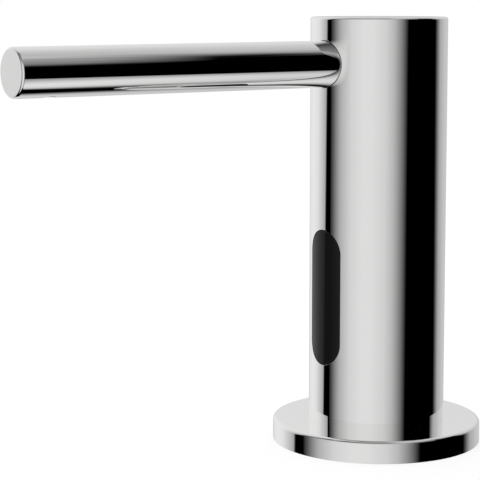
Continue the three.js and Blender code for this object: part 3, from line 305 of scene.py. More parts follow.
# %% Group helper
def new_group(name, inputs, output, kind):
    group = bpy.data.node_groups.new(name, "ShaderNodeTree")
    for label, value in inputs.items():
        colour = isinstance(value, tuple)
        socket = group.interface.new_socket(
            name=label, in_out="INPUT", socket_type="NodeSocketColor" if colour else "NodeSocketFloat"
        )
        socket.default_value = (*value, 1) if colour else value
    group.interface.new_socket(name=output, in_out="OUTPUT", socket_type=kind)
    return group, group.nodes.new("NodeGroupInput").outputs, group.nodes.new("NodeGroupOutput").inputs


def step_of(tree, operation, *values, kind="ShaderNodeMath"):
    """One step of arithmetic on sockets and plain values."""
    node = tree.nodes.new(kind)
    node.operation = operation
    for socket, value in zip(node.inputs, values):
        if isinstance(value, bpy.types.NodeSocket):
            tree.links.new(value, socket)
        else:
            socket.default_value = value
    return node.outputs["Value" if operation == "LENGTH" else 0]


def noise(tree, scale, detail=3.0, stretch=None):
    """Noise on the object's own coordinates; stretch draws it out along an axis."""
    where = tree.nodes.new("ShaderNodeTexCoord").outputs["Object"]
    if stretch:
        where = step_of(tree, "MULTIPLY", where, stretch, kind="ShaderNodeVectorMath")
    texture = tree.nodes.new("ShaderNodeTexNoise")
    texture.inputs["Detail"].default_value = detail
    tree.links.new(where, texture.inputs["Vector"])
    tree.links.new(scale, texture.inputs["Scale"])
    return texture.outputs[0]


def bump(tree, height, depth):
    node = tree.nodes.new("ShaderNodeBump")
    tree.links.new(height, node.inputs["Height"])
    tree.links.new(depth, node.inputs["Distance"])
    return node.outputs["Normal"]


# %% Two tones of one colour
two_tones, given, taken = new_group(
    "two tones", {"First": (0.5, 0.5, 0.5), "Second": (0.4, 0.4, 0.4), "Scale": 300.0},
    "Colour", "NodeSocketColor",
)
mix = two_tones.nodes.new("ShaderNodeMix")
mix.data_type = "RGBA"
two_tones.links.new(noise(two_tones, given["Scale"]), mix.inputs["Factor"])
two_tones.links.new(given["First"], mix.inputs["A"])
two_tones.links.new(given["Second"], mix.inputs["B"])
two_tones.links.new(mix.outputs["Result"], taken["Colour"])

# %% Gloss that wanders between two values
NOISE_LOW, NOISE_HIGH = 0.3, 0.75

uneven_gloss, given, taken = new_group(
    "uneven gloss", {"Scale": 200.0, "Glossy": 0.1, "Dull": 0.2}, "Roughness", "NodeSocketFloat"
)
spread = uneven_gloss.nodes.new("ShaderNodeMapRange")
uneven_gloss.links.new(noise(uneven_gloss, given["Scale"], 5.0), spread.inputs["Value"])
uneven_gloss.links.new(given["Glossy"], spread.inputs["To Min"])
uneven_gloss.links.new(given["Dull"], spread.inputs["To Max"])
spread.inputs["From Min"].default_value = NOISE_LOW
spread.inputs["From Max"].default_value = NOISE_HIGH
uneven_gloss.links.new(spread.outputs["Result"], taken["Roughness"])

# %% Reliefs: the ripple of a plated skin, the grain of rubber and hairlines left by wiping
def relief_group(name, scale, depth, detail, stretch=None):
    group, given, taken = new_group(name, {"Scale": scale, "Depth": depth}, "Normal", "NodeSocketVector")
    height = noise(group, given["Scale"], detail, stretch)
    group.links.new(bump(group, height, given["Depth"]), taken["Normal"])
    return group


soft_ripple = relief_group("soft ripple", 300.0, 1e-6, detail=1.0)
fine_grain = relief_group("fine grain", 3000.0, 4e-6, detail=6.0)
hairlines = relief_group("hairlines", 900.0, 4e-7, detail=2.0, stretch=(1, 1, 0.04))

# %% Marks of the lathe tool: rings about the upright axis
tool_marks, given, taken = new_group(
    "tool marks", {"Scale": 5000.0, "Depth": 1e-6}, "Normal", "NodeSocketVector"
)
where = tool_marks.nodes.new("ShaderNodeTexCoord").outputs["Object"]
split = tool_marks.nodes.new("ShaderNodeSeparateXYZ")
tool_marks.links.new(where, split.inputs[0])
level_part = step_of(tool_marks, "MULTIPLY", where, (1, 1, 0), kind="ShaderNodeVectorMath")
reach = step_of(tool_marks, "LENGTH", level_part, kind="ShaderNodeVectorMath")
travel = step_of(tool_marks, "ADD", reach, split.outputs["Z"])
wave = step_of(tool_marks, "SINE", step_of(tool_marks, "MULTIPLY", travel, given["Scale"]))
tool_marks.links.new(bump(tool_marks, wave, given["Depth"]), taken["Normal"])
print("effects:", [group.name for group in bpy.data.node_groups])

# %% [markdown]
# ## Finishes
# A finish is one Principled shader with the effects plugged in: two tones for its colour, uneven gloss for
# its roughness and one relief for its normal. Plain values set the rest, such as metalness.

# %% Finish helper
def effect(tree, group, **values):
    node = tree.nodes.new("ShaderNodeGroup")
    node.node_tree = group
    for label, value in values.items():
        node.inputs[label].default_value = (*value, 1) if isinstance(value, tuple) else value
    return node.outputs[0]


def finish(name, tones, tone_scale, gloss, gloss_scale, relief, relief_scale, depth, **sockets):
    material = bpy.data.materials.new(name)
    material.use_nodes = True
    tree = material.node_tree
    shader = tree.nodes["Principled BSDF"]
    colour = effect(tree, two_tones, First=tones[0], Second=tones[1], Scale=tone_scale)
    rough = effect(tree, uneven_gloss, Glossy=gloss[0], Dull=gloss[1], Scale=gloss_scale)
    facing = effect(tree, relief, Scale=relief_scale, Depth=depth)
    tree.links.new(colour, shader.inputs["Base Color"])
    tree.links.new(rough, shader.inputs["Roughness"])
    tree.links.new(facing, shader.inputs["Normal"])
    for label, value in sockets.items():
        shader.inputs[label.replace("_", " ")].default_value = value
    material.diffuse_color = (*tones[0], 1)
    return material


# %% [markdown]
# Chrome is a thin bright plate over polished brass. It mirrors nearly all of the light with hardly a tint of
# its own, and its only marks are a faint unevenness of the plate and of its gloss.

# %% Metals
chrome = finish("chrome", ((0.973, 0.97, 0.967), (0.958, 0.955, 0.952)), 90.0, (0.02, 0.035), 140.0,
                soft_ripple, 220.0, 3e-7, Metallic=1.0)
brass = finish("brass", ((0.72, 0.48, 0.19), (0.62, 0.40, 0.15)), 160.0, (0.24, 0.38), 420.0,
               tool_marks, 25000.0, 1.2e-6, Metallic=1.0)
steel = finish("stainless steel", ((0.56, 0.57, 0.58), (0.49, 0.50, 0.51)), 220.0, (0.22, 0.36), 500.0,
               tool_marks, 31000.0, 1.0e-6, Metallic=1.0)
spring_steel = finish("spring steel", ((0.50, 0.51, 0.53), (0.42, 0.43, 0.45)), 600.0, (0.2, 0.3), 900.0,
                      hairlines, 2600.0, 6e-7, Metallic=1.0)

# %% [markdown]
# The window is black to the eye but lets infrared through: a dense, glassy acrylic with a deep gloss. It
# mirrors far less than chrome, and more towards its far edge, where it is seen at a slant. Rubber is nearly
# black with a fine dry grain. The mouldings are matt, and the soap tube is milky and half clear.

# %% Plastics and rubber
lens_black = finish("window acrylic", ((0.0101, 0.0101, 0.0102), (0.0094, 0.0094, 0.0096)), 120.0,
                    (0.03, 0.06), 160.0, hairlines, 500.0, 8e-8, Specular_IOR_Level=0.17)
rubber = finish("black rubber", ((0.012, 0.012, 0.013), (0.02, 0.02, 0.021)), 700.0, (0.6, 0.8), 900.0,
                fine_grain, 2600.0, 1.2e-5)
dark_plastic = finish("dark plastic", ((0.028, 0.03, 0.033), (0.022, 0.023, 0.026)), 500.0,
                      (0.42, 0.58), 800.0, fine_grain, 4200.0, 5e-6)
pale_plastic = finish("pale plastic", ((0.72, 0.71, 0.66), (0.68, 0.665, 0.61)), 260.0, (0.38, 0.5), 600.0,
                      fine_grain, 3600.0, 3e-6, Subsurface_Weight=0.08, Subsurface_Scale=0.002)
blue_plastic = finish("blue plastic", ((0.03, 0.14, 0.42), (0.025, 0.12, 0.37)), 300.0, (0.34, 0.46), 700.0,
                      fine_grain, 3600.0, 3e-6)
tube_plastic = finish("milky tube", ((0.74, 0.78, 0.78), (0.68, 0.72, 0.73)), 240.0, (0.16, 0.26), 500.0,
                      soft_ripple, 900.0, 2e-6, Transmission_Weight=0.35, IOR=1.43)

# %% Electronics
board_green = finish("circuit board", ((0.012, 0.10, 0.035), (0.02, 0.15, 0.05)), 1500.0,
                     (0.3, 0.5), 1200.0, fine_grain, 2400.0, 6e-6)
tinted_eye = finish("tinted eye", ((0.02, 0.012, 0.03), (0.015, 0.01, 0.022)), 400.0, (0.05, 0.1), 500.0,
                    soft_ripple, 500.0, 4e-7)
red_light = finish("red light", ((0.5, 0.02, 0.015), (0.42, 0.016, 0.012)), 500.0, (0.08, 0.14), 500.0,
                   soft_ripple, 500.0, 4e-7, Transmission_Weight=0.4)
print("finishes:", len(bpy.data.materials))

# %% [markdown]
# ## Setting a piece in the model
# Each dressed piece takes the body it rides on and one material, and the CAD node that it stands for is
# hidden.

# %% Setting pieces
def set_piece(node, mesh, material, body="dispenser"):
    obj = placed(node + "_dressed", mesh)
    obj.data.materials.clear()
    obj.data.materials.append(material)
    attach(obj, body)
    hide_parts(node)
    print(obj.name, len(mesh.polygons), "faces")
    return obj


# %% [markdown]
# ## The window's outline
# The sensor window is a pill: two half circles joined by straight sides. It is cut straight through the round
# wall from the front, so seen from the side its edge follows the tower's curve. The same function draws every
# ring of the opening and of the lens. A ring lies either on an upright cylinder or on a flat plane.

# %% Pill rings
WINDOW_CENTRE = 46.28 * MM
WINDOW_HALF = 7.15 * MM
WINDOW_STRAIGHT = 13.68 * MM
PILL_STEPS = 64


def pill_ring(half, radius=None, plane=None):
    ring = []
    for end in (1, -1):
        for step in range(PILL_STEPS + 1):
            angle = math.pi * step / PILL_STEPS
            x = end * half * math.cos(angle)
            z = WINDOW_CENTRE + end * (WINDOW_STRAIGHT + half * math.sin(angle))
            y = -plane if radius is None else -math.sqrt(radius**2 - x**2)
            ring.append(Vector((x, y, z)))
    return ring


def spout_ring(radius, reach=None, depth=0.0):
    """A ring round the spout's axis, at a reach, or at a depth below the tower's curved surface."""
    ring = []
    for k in range(FACETS):
        angle = TAU * k / FACETS
        x = radius * math.cos(angle)
        y = -reach if reach else depth - math.sqrt(TOWER_RADIUS**2 - x**2)
        ring.append(Vector((x, y, SPOUT_HEIGHT + radius * math.sin(angle))))
    return ring


def finished_mesh(name, body):
    mesh = bpy.data.meshes.new(name)
    body.to_mesh(mesh)
    body.free()
    return mesh


def lofted(name, rings, closed=False):
    """Joins rings of equal length into a skin. Unless it is closed, the end rings are filled."""
    count = len(rings[0])
    body = bmesh.new()
    verts = [[body.verts.new(point) for point in ring] for ring in rings]
    pairs = list(zip(verts, verts[1:])) + ([(verts[-1], verts[0])] if closed else [])
    for near, far in pairs:
        for k in range(count):
            body.faces.new((near[k], near[(k + 1) % count], far[(k + 1) % count], far[k]))
    if not closed:
        body.faces.new(verts[0])
        body.faces.new(verts[-1])
    bmesh.ops.remove_doubles(body, verts=body.verts, dist=1e-7)
    bmesh.ops.dissolve_degenerate(body, edges=body.edges, dist=1e-8)
    bmesh.ops.recalc_face_normals(body, faces=body.faces)
    return finished_mesh(name, body)


# %% [markdown]
# ## The tower
# The real tower is a drawn brass tube with a closed top, turned, polished and plated. It is turned here as
# one closed shell, and then the window, the spout's hole and the grub screw's hole are cut. The window's
# cutter widens just under the surface, which takes the sharpness off its rim. The spout's hole has a shallow
# seat that follows the tower's curve.

# %% Tower shell
SPOUT_HOLE = 6.35 * MM
SEAT_DEPTH = 0.3 * MM
SEAT_RADIUS = SPOUT_RADIUS + 0.2 * MM
GRUB_HEIGHT = 13 * MM
GRUB_HOLE = 2.03 * MM
WINDOW_RIM = 0.04 * MM
RIM_DEGREES = (0, 30, 60, 80)
LENS_BACK = 14.5 * MM
BEYOND = 5 * MM

bore = TOWER_RADIUS - TOWER_WALL
shell = turned("body_shell", [
    (0, TOWER_TOP - TOWER_ROOF),
    (bore, TOWER_TOP - TOWER_ROOF),
    (bore, TOWER_FOOT),
    (TOWER_RADIUS, TOWER_FOOT),
    (TOWER_RADIUS, TOWER_TOP, TOWER_EDGE),
    (0, TOWER_TOP),
])
rim = []
for degrees in RIM_DEGREES:
    angle = math.radians(degrees)
    widening = WINDOW_RIM * (1 - math.cos(angle))
    rim.append(pill_ring(WINDOW_HALF + widening, radius=TOWER_RADIUS - WINDOW_RIM * (1 - math.sin(angle))))
window_tool = lofted("window_tool", [
    pill_ring(WINDOW_HALF, plane=LENS_BACK),
    *rim,
    pill_ring(WINDOW_HALF + WINDOW_RIM, radius=TOWER_RADIUS + WINDOW_RIM / 3),
    pill_ring(WINDOW_HALF + WINDOW_RIM, plane=TOWER_RADIUS + BEYOND),
])
spout_tool = lofted("spout_tool", [
    spout_ring(SPOUT_HOLE, SPOUT_TAIL),
    spout_ring(SPOUT_HOLE, depth=SEAT_DEPTH),
    spout_ring(SEAT_RADIUS, depth=SEAT_DEPTH),
    spout_ring(SEAT_RADIUS, TOWER_RADIUS + BEYOND),
])


def rod(name, radius, first, last, facets, place=UPRIGHT):
    section = [(0, first), (radius, first), (radius, last), (0, last)]
    return turned(name, section, facets=facets, place=place)


def plug_tool(radius, first, last, place):
    return rod("plug_tool", radius, first, last, FEW_FACETS, place)


at_grub = Matrix.Translation((0, 0, GRUB_HEIGHT)) @ Matrix.Rotation(-math.pi / 2, 4, "X")
shell = combine(shell, [
    window_tool,
    spout_tool,
    plug_tool(GRUB_HOLE, LENS_BACK, TOWER_RADIUS + BEYOND, at_grub),
])


def tower_edge(point):
    """The rule for the rounding between the tower's wall and its top."""
    reach = math.hypot(point.x, point.y)
    across, up = reach - (TOWER_RADIUS - TOWER_EDGE), point.z - (TOWER_TOP - TOWER_EDGE)
    size = math.hypot(across, up)
    if across < -NOWHERE or up < -NOWHERE or abs(size - TOWER_EDGE) > ON_CURVE:
        return None
    return Vector((across * point.x / reach, across * point.y / reach, up)) / size


def tower_top(point):
    return Vector((0, 0, 1)) if abs(point.z - TOWER_TOP) < ON_FACE else None


polished(shell, (tower_edge, round_wall(TOWER_RADIUS), tower_top))
set_piece("body_shell", shell, chrome)

# %% [markdown]
# ## The flange
# A plain turned disc that covers the hole in the deck, with a rounded upper edge. The tower stands in a
# shallow recess in its top, and its underside has a groove for the gasket. Outside the gasket its rim comes
# down almost to the deck, because in the photograph no gap shows between them.

# %% Flange and gasket
gasket_low, gasket_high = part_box("base_gasket")
GASKET_OUTER = gasket_high.x
GASKET_INNER = 24.1 * MM
GASKET_EDGE = 0.4 * MM
GROOVE_GAP = 0.05 * MM
GROOVE_PLAY = 0.02 * MM
FLANGE_BORE = 15.3 * MM
RECESS_RADIUS = TOWER_RADIUS + 0.008 * MM
SMALL_EDGE = 0.08 * MM
RIM_LOW = 0.01 * MM
RIM_EDGE = 0.02 * MM

set_piece("escutcheon", turned("escutcheon", [
    (FLANGE_BORE, flange_low.z, SMALL_EDGE),
    (GASKET_INNER - GROOVE_GAP, flange_low.z, SMALL_EDGE),
    (GASKET_INNER - GROOVE_GAP, gasket_high.z),
    (GASKET_OUTER + GROOVE_GAP, gasket_high.z),
    (GASKET_OUTER + GROOVE_GAP, RIM_LOW, SMALL_EDGE),
    (FLANGE_RADIUS, RIM_LOW, RIM_EDGE),
    (FLANGE_RADIUS, FLANGE_TOP, FLANGE_EDGE),
    (RECESS_RADIUS, FLANGE_TOP),
    (RECESS_RADIUS, TOWER_FOOT),
    (FLANGE_BORE, TOWER_FOOT),
], closed=True), chrome)
set_piece("base_gasket", turned("base_gasket", [
    (GASKET_INNER, gasket_low.z, GASKET_EDGE),
    (GASKET_OUTER, gasket_low.z, GASKET_EDGE),
    (GASKET_OUTER, gasket_high.z - GROOVE_PLAY),
    (GASKET_INNER, gasket_high.z - GROOVE_PLAY),
], closed=True, facets=SOME_FACETS), rubber)

# %% [markdown]
# ## The spout
# The spout is a round tube that is coped, which means that its end is cut to the tower's curve. It stands in
# its seat with a thin black rubber ring round it, which is painted shade: the joint's shadow gap as a dark
# hairline.
# Each ring of the tube has the same number of points, and near the tower a ring follows the tower's surface.

# %% Spout tube
JOINT_PLAY = 0.01 * MM
TAIL_RADIUS = 6.3 * MM
TAIL_BORE = 4.9 * MM
SPOUT_BORE = 5.75 * MM
BUSH_END = 28 * MM

tube = lofted("spout_tube", [
    spout_ring(TAIL_BORE, SPOUT_TAIL),
    spout_ring(TAIL_RADIUS, SPOUT_TAIL),
    spout_ring(TAIL_RADIUS, depth=SEAT_DEPTH - JOINT_PLAY),
    spout_ring(SPOUT_RADIUS, depth=SEAT_DEPTH - JOINT_PLAY),
    spout_ring(SPOUT_RADIUS, SPOUT_SEAM),
    spout_ring(SPOUT_BORE, SPOUT_SEAM),
    spout_ring(SPOUT_BORE, BUSH_END),
    spout_ring(TAIL_BORE, BUSH_END),
], closed=True)

# %% Black ring in the joint, painted shade
SHADE_SEAL_DEPTH = 0.05 * MM

# The ring's black is painted shade: it makes the dark hairline of the shadow gap where the spout meets the
# tower.
shade_seal = placed("spout_shade_seal_dressed", lofted("spout_shade_seal", [
    spout_ring(SPOUT_RADIUS + JOINT_PLAY, depth=SEAT_DEPTH - JOINT_PLAY),
    spout_ring(SEAT_RADIUS - JOINT_PLAY, depth=SEAT_DEPTH - JOINT_PLAY),
    spout_ring(SEAT_RADIUS - JOINT_PLAY, depth=SHADE_SEAL_DEPTH),
    spout_ring(SPOUT_RADIUS + JOINT_PLAY, depth=SHADE_SEAL_DEPTH),
], closed=True))
polished(shade_seal.data)
shade_seal.data.materials.append(rubber)
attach(shade_seal, "dispenser")
print("shade_seal", round((SEAT_RADIUS - SPOUT_RADIUS) / MM, 2), "mm wide")

# %% [markdown]
# The soap leaves through a small hole in the underside, near the closed end. From the camera it is only a
# nick in the spout's lower edge.

# %% Outlet hole and end plug
NOZZLE_REACH = 113.9 * MM
NOZZLE_HOLE = 2.55 * MM
SPOUT_EDGE = 0.7 * MM
PLUG_RADIUS = SPOUT_BORE - 0.05 * MM
PLUG_DEPTH = 4.8 * MM

downwards = Matrix.Translation((0, -NOZZLE_REACH, SPOUT_HEIGHT)) @ Matrix.Rotation(math.pi, 4, "X")
nozzle_tool = plug_tool(NOZZLE_HOLE, SPOUT_BORE / 2, SPOUT_RADIUS + BEYOND, downwards)
tube = combine(tube, [nozzle_tool])


def spout_wall(point):
    """The rule for the spout's outer surface."""
    up = point.z - SPOUT_HEIGHT
    size = math.hypot(point.x, up)
    return Vector((point.x / size, 0, up / size)) if abs(size - SPOUT_RADIUS) < ON_CURVE else None


polished(tube, (spout_wall,))
set_piece("spout_tube", tube, chrome)
set_piece("spout_end_plug", turned("spout_end_plug", [
    (0, SPOUT_SEAM - PLUG_DEPTH),
    (PLUG_RADIUS, SPOUT_SEAM - PLUG_DEPTH),
    (PLUG_RADIUS, SPOUT_SEAM),
    (SPOUT_RADIUS, SPOUT_SEAM),
    (SPOUT_RADIUS, SPOUT_REACH, SPOUT_EDGE),
    (0, SPOUT_REACH),
], place=ALONG_SPOUT), chrome)

# %% [markdown]
# ## The window's lens
# The lens is one moulding. Its face lies flush with the tower and has the tower's curve, its edge is slightly
# rounded, and behind the wall a shoulder keeps it from being pushed out. The rings run from the middle of the
# face outwards, round the edge, over the shoulder, across the back and into the hollow behind the face.

# %% Lens
LENS_GAP = 0.28 * MM
LENS_EDGE = 0.25 * MM
SHOULDER_STEP = 2.2 * MM
SHOULDER_RADIUS = 18.4 * MM
POCKET_STEP = 1.65 * MM
POCKET_RADIUS = 18.6 * MM
FACE_RINGS = 20

stem = WINDOW_HALF - LENS_GAP
face = [pill_ring((stem - LENS_EDGE) * i / FACE_RINGS, radius=TOWER_RADIUS) for i in range(FACE_RINGS + 1)]
edge = []
for step in range(1, ROUND_STEPS + 1):
    angle = math.pi / 2 * step / ROUND_STEPS
    half = stem - LENS_EDGE * (1 - math.sin(angle))
    edge.append(pill_ring(half, radius=TOWER_RADIUS - LENS_EDGE * (1 - math.cos(angle))))
pocket = stem - POCKET_STEP
hollow = [pill_ring(pocket * i / FACE_RINGS, radius=POCKET_RADIUS) for i in range(FACE_RINGS, -1, -1)]
lens = lofted("sensor_lens", [
    *face,
    *edge,
    pill_ring(stem, radius=SHOULDER_RADIUS),
    pill_ring(WINDOW_HALF + SHOULDER_STEP, radius=SHOULDER_RADIUS),
    pill_ring(WINDOW_HALF + SHOULDER_STEP, plane=LENS_BACK),
    pill_ring(pocket, plane=LENS_BACK),
    *hollow,
])
polished(lens, (round_wall(TOWER_RADIUS, 2 * ON_FACE),))
set_piece("sensor_lens", lens, lens_black)

# %% [markdown]
# ## Under the deck
# The shank is a hollow bolt, 30 mm across, with a coarse and shallow thread. A thread is a section carried
# round in a helix: each ring of points is one line of the section and climbs by one pitch on its way round,
# so the crests and roots are true. Points past the ends are held at the end faces, as a cut thread runs out.

# %% Threaded shank
shank_low, shank_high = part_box("shank")
SHANK_RADIUS = shank_high.x
SHANK_BORE = 12.5 * MM
BORE_EDGE = 0.3 * MM
THREAD_PITCH = 3 * MM
THREAD_DEPTH = 0.85 * MM
THREAD_SECTION = ((0.0, 0.2), (0.04, 0.0), (0.3, 0.0), (0.34, 0.2), (0.62, 1.0), (0.72, 1.0))


def threaded(name, radius, bore_radius, low, high):
    rings = []

    def ring(ring_radius, height, climb):
        points = []
        for k in range(FEW_FACETS):
            z = min(max(height + climb * k / FEW_FACETS, low), high)
            points.append(polar(ring_radius, TAU * k / FEW_FACETS, z))
        return points

    turns = math.ceil((high - low) / THREAD_PITCH) + 1
    for i in range(-1, turns):
        for share, sunk in THREAD_SECTION:
            rings.append(ring(radius - THREAD_DEPTH * sunk, low + (i + share) * THREAD_PITCH, THREAD_PITCH))
    body = bmesh.new()
    verts = [[body.verts.new(point) for point in points] for points in rings]
    step = len(THREAD_SECTION)
    for i in range(len(verts) - step):
        near, far = verts[i], verts[i + 1]
        for k in range(FEW_FACETS - 1):
            body.faces.new((near[k], near[k + 1], far[k + 1], far[k]))
        above = verts[i + step + 1][0] if i + step + 1 < len(verts) else far[0]
        body.faces.new((near[-1], verts[i + step][0], above, far[-1]))
    bmesh.ops.remove_doubles(body, verts=body.verts, dist=1e-6)
    bmesh.ops.dissolve_degenerate(body, edges=body.edges, dist=1e-7)
    inner = turned(name + "_bore", [
        (radius - THREAD_DEPTH, high),
        (bore_radius, high, BORE_EDGE),
        (bore_radius, low, BORE_EDGE),
        (radius - THREAD_DEPTH, low),
    ], facets=FEW_FACETS)
    return finished_mesh(name, body), inner


def joined(name, meshes):
    body = bmesh.new()
    for mesh in meshes:
        body.from_mesh(mesh)
    return finished_mesh(name, body)


thread, shank_inside = threaded("shank", SHANK_RADIUS, SHANK_BORE, shank_low.z, shank_high.z)
set_piece("shank", polished(joined("shank", [thread, shank_inside])), brass)

# %% [markdown]
# The clamp is a rubber washer, a steel washer and a hexagonal brass nut. A nut is a hexagon trimmed by a cone
# at each end, which leaves the curved line where cone and flats meet.

# %% Clamp
WASHER_BORE = 15.3 * MM
washers = {"rubber_washer": (rubber, "rubber", 0.5 * MM), "steel_washer": (steel, "steel", 0.25 * MM)}
for node, (material, slot, edge) in washers.items():
    low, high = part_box(node)
    mesh = turned(node, [
        (WASHER_BORE, low.z, edge),
        (high.x, low.z, edge),
        (high.x, high.z, edge),
        (WASHER_BORE, high.z, edge),
    ], closed=True, facets=SOME_FACETS)
    set_piece(node, mesh, material, body="clamp")

nut_low, nut_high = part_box("lock_nut")
NUT_FLATS = 40 * MM
NUT_BORE = 15.05 * MM
NUT_CHAMFER = 1.1 * MM
NUT_EASING = 0.2 * MM
TRIM_FACETS = 192
nut_corner = NUT_FLATS / math.sqrt(3)
nut_face = nut_corner - 2 * NUT_CHAMFER
mouth, mouth_depth = NUT_BORE + BEYOND + NUT_CHAMFER / 2, NUT_CHAMFER / 2
hexagon = rod("lock_nut", nut_corner, nut_low.z, nut_high.z, facets=6)
trim = turned("trim", [
    (0, nut_low.z),
    (nut_face, nut_low.z, NUT_EASING),
    (nut_corner, nut_low.z + NUT_CHAMFER),
    (nut_corner, nut_high.z - NUT_CHAMFER),
    (nut_face, nut_high.z, NUT_EASING),
    (0, nut_high.z),
], facets=TRIM_FACETS)
nut_bore = turned("nut_bore", [
    (0, nut_low.z - BEYOND),
    (mouth, nut_low.z - BEYOND),
    (NUT_BORE, nut_low.z + mouth_depth),
    (NUT_BORE, nut_high.z - mouth_depth),
    (mouth, nut_high.z + BEYOND),
    (0, nut_high.z + BEYOND),
], facets=FEW_FACETS)
nut = combine(combine(hexagon, [trim], "INTERSECT"), [nut_bore])
set_piece("lock_nut", polished(nut), brass, body="nut")

# %% [markdown]
# A plastic plug closes the shank's end and holds two things: the inlet, with its push-in socket for the soap
# hose and the blue collar that lets the hose go, and the socket for the sensor's lead. Their moulded edges
# have four roundings, from very fine to broad.

# %% Fittings in the shank's end
plug_low, plug_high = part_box("shank_end_plug")
inlet_low, inlet_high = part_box("inlet_body")
collet_low, collet_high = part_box("release_collet")
FINE, SMALL, SOFT, BROAD = 0.1 * MM, 0.2 * MM, 0.3 * MM, 0.4 * MM
PLAY = 0.1 * MM
LINE_BACK = 3.6 * MM
SOCKET_FRONT = 8.4 * MM
PLUG_RIM_RADIUS = 14.2 * MM
PLUG_SPIGOT = 12.45 * MM
INLET_RADIUS = 7.5 * MM
INLET_RIM_RADIUS = 8.4 * MM
INLET_TAIL = 8 * MM
INLET_RIM = 3 * MM
SOCKET_RADIUS = 2.8 * MM
behind = Matrix.Translation((0, LINE_BACK, 0))
in_front = Matrix.Translation((0, -SOCKET_FRONT, 0))

end_plug = turned("shank_end_plug", [
    (0, plug_low.z),
    (PLUG_RIM_RADIUS, plug_low.z, 0.5 * MM),
    (PLUG_RIM_RADIUS, shank_low.z, FINE),
    (PLUG_SPIGOT, shank_low.z),
    (PLUG_SPIGOT, plug_high.z, BROAD),
    (0, plug_high.z),
], facets=SOME_FACETS)
end_plug = combine(end_plug, [
    plug_tool(INLET_RADIUS + PLAY, plug_low.z - BEYOND, plug_high.z + BEYOND, behind),
    plug_tool(SOCKET_RADIUS + PLAY, plug_low.z - BEYOND, plug_high.z + BEYOND, in_front),
])
set_piece("shank_end_plug", polished(end_plug), dark_plastic)

# %% Inlet and collar
VALVE_SEAT = -56 * MM
HOSE_STOP = -59 * MM
SEAL_TOP = -63.4 * MM
COLLET_STOP = -66 * MM
UNDERCUT_LOW = -68.5 * MM
UNDERCUT = 6 * MM
COLLET_BORE = 5.6 * MM
COLLET_INNER = 4.1 * MM
COLLET_RIM_RADIUS = 7.15 * MM
COLLET_RIM = 1.2 * MM
HOSE_BORE = 4.05 * MM
SEAL_BORE = 5.5 * MM
PORT = 2 * MM
CHAMBER = 3.4 * MM
SLIDE_PLAY = 0.05 * MM
REST_GAP = 0.02 * MM
TAIL_EDGE = 0.6 * MM
RIM_EASING = 0.15 * MM

set_piece("inlet_body", turned("inlet_body", [
    (COLLET_BORE, inlet_low.z, SMALL),
    (INLET_TAIL, inlet_low.z, TAIL_EDGE),
    (INLET_TAIL, plug_low.z - INLET_RIM, SMALL),
    (INLET_RIM_RADIUS, plug_low.z - INLET_RIM, RIM_EASING),
    (INLET_RIM_RADIUS, plug_low.z, SMALL),
    (INLET_RADIUS, plug_low.z),
    (INLET_RADIUS, inlet_high.z, SOFT),
    (CHAMBER, inlet_high.z),
    (CHAMBER, VALVE_SEAT),
    (PORT, VALVE_SEAT),
    (PORT, HOSE_STOP),
    (HOSE_BORE, HOSE_STOP),
    (HOSE_BORE, SEAL_TOP),
    (SEAL_BORE, SEAL_TOP),
    (SEAL_BORE, COLLET_STOP),
    (UNDERCUT, COLLET_STOP),
    (UNDERCUT, UNDERCUT_LOW),
    (COLLET_BORE, UNDERCUT_LOW),
], closed=True, facets=FEW_FACETS, place=behind), pale_plastic)
set_piece("release_collet", turned("release_collet", [
    (COLLET_INNER, collet_low.z, SOFT),
    (COLLET_RIM_RADIUS, collet_low.z, BROAD),
    (COLLET_RIM_RADIUS, collet_low.z + COLLET_RIM, SOFT),
    (COLLET_BORE - SLIDE_PLAY, collet_low.z + COLLET_RIM, FINE),
    (COLLET_BORE - SLIDE_PLAY, UNDERCUT_LOW + REST_GAP),
    (UNDERCUT - PLAY, UNDERCUT_LOW + REST_GAP, FINE),
    (UNDERCUT - PLAY, collet_high.z, SOFT),
    (COLLET_INNER, collet_high.z, SMALL),
], closed=True, facets=FEW_FACETS, place=behind), blue_plastic, body="collet")

# %% Lead socket
socket_low, socket_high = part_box("lead_socket")
RECESS_TOP = socket_low.z + 5 * MM
PIN_LOW = socket_low.z + 1 * MM
PIN = 0.6 * MM
SOCKET_BORE = 1.9 * MM
COLLAR_RADIUS = SOCKET_RADIUS + 0.5 * MM
COLLAR_LOW = plug_low.z - 2.5 * MM
set_piece("lead_socket", turned("lead_socket", [
    (0, PIN_LOW),
    (PIN, PIN_LOW, SOFT),
    (PIN, RECESS_TOP),
    (SOCKET_BORE, RECESS_TOP),
    (SOCKET_BORE, socket_low.z, SMALL),
    (SOCKET_RADIUS, socket_low.z, SMALL),
    (SOCKET_RADIUS, COLLAR_LOW, FINE),
    (COLLAR_RADIUS, COLLAR_LOW, FINE),
    (COLLAR_RADIUS, plug_low.z, FINE),
    (SOCKET_RADIUS, plug_low.z),
    (SOCKET_RADIUS, socket_high.z),
    (0, socket_high.z),
], facets=64, place=in_front), dark_plastic)

# %% [markdown]
# The valve's spring is steel wire wound in a helix. In the valve it is the one piece that changes its length:
# its upper end stays against the tube connector, and its lower end goes up with the ball. Here it only gets a
# mesh of its own, at one length.

# %% Valve spring
SPRING_WIRE = 0.25 * MM
SPRING_TURNS = 3.5
WIRE_SIDES = 12
STEPS_A_TURN = 32
UPWARD = Vector((0, 0, 1))

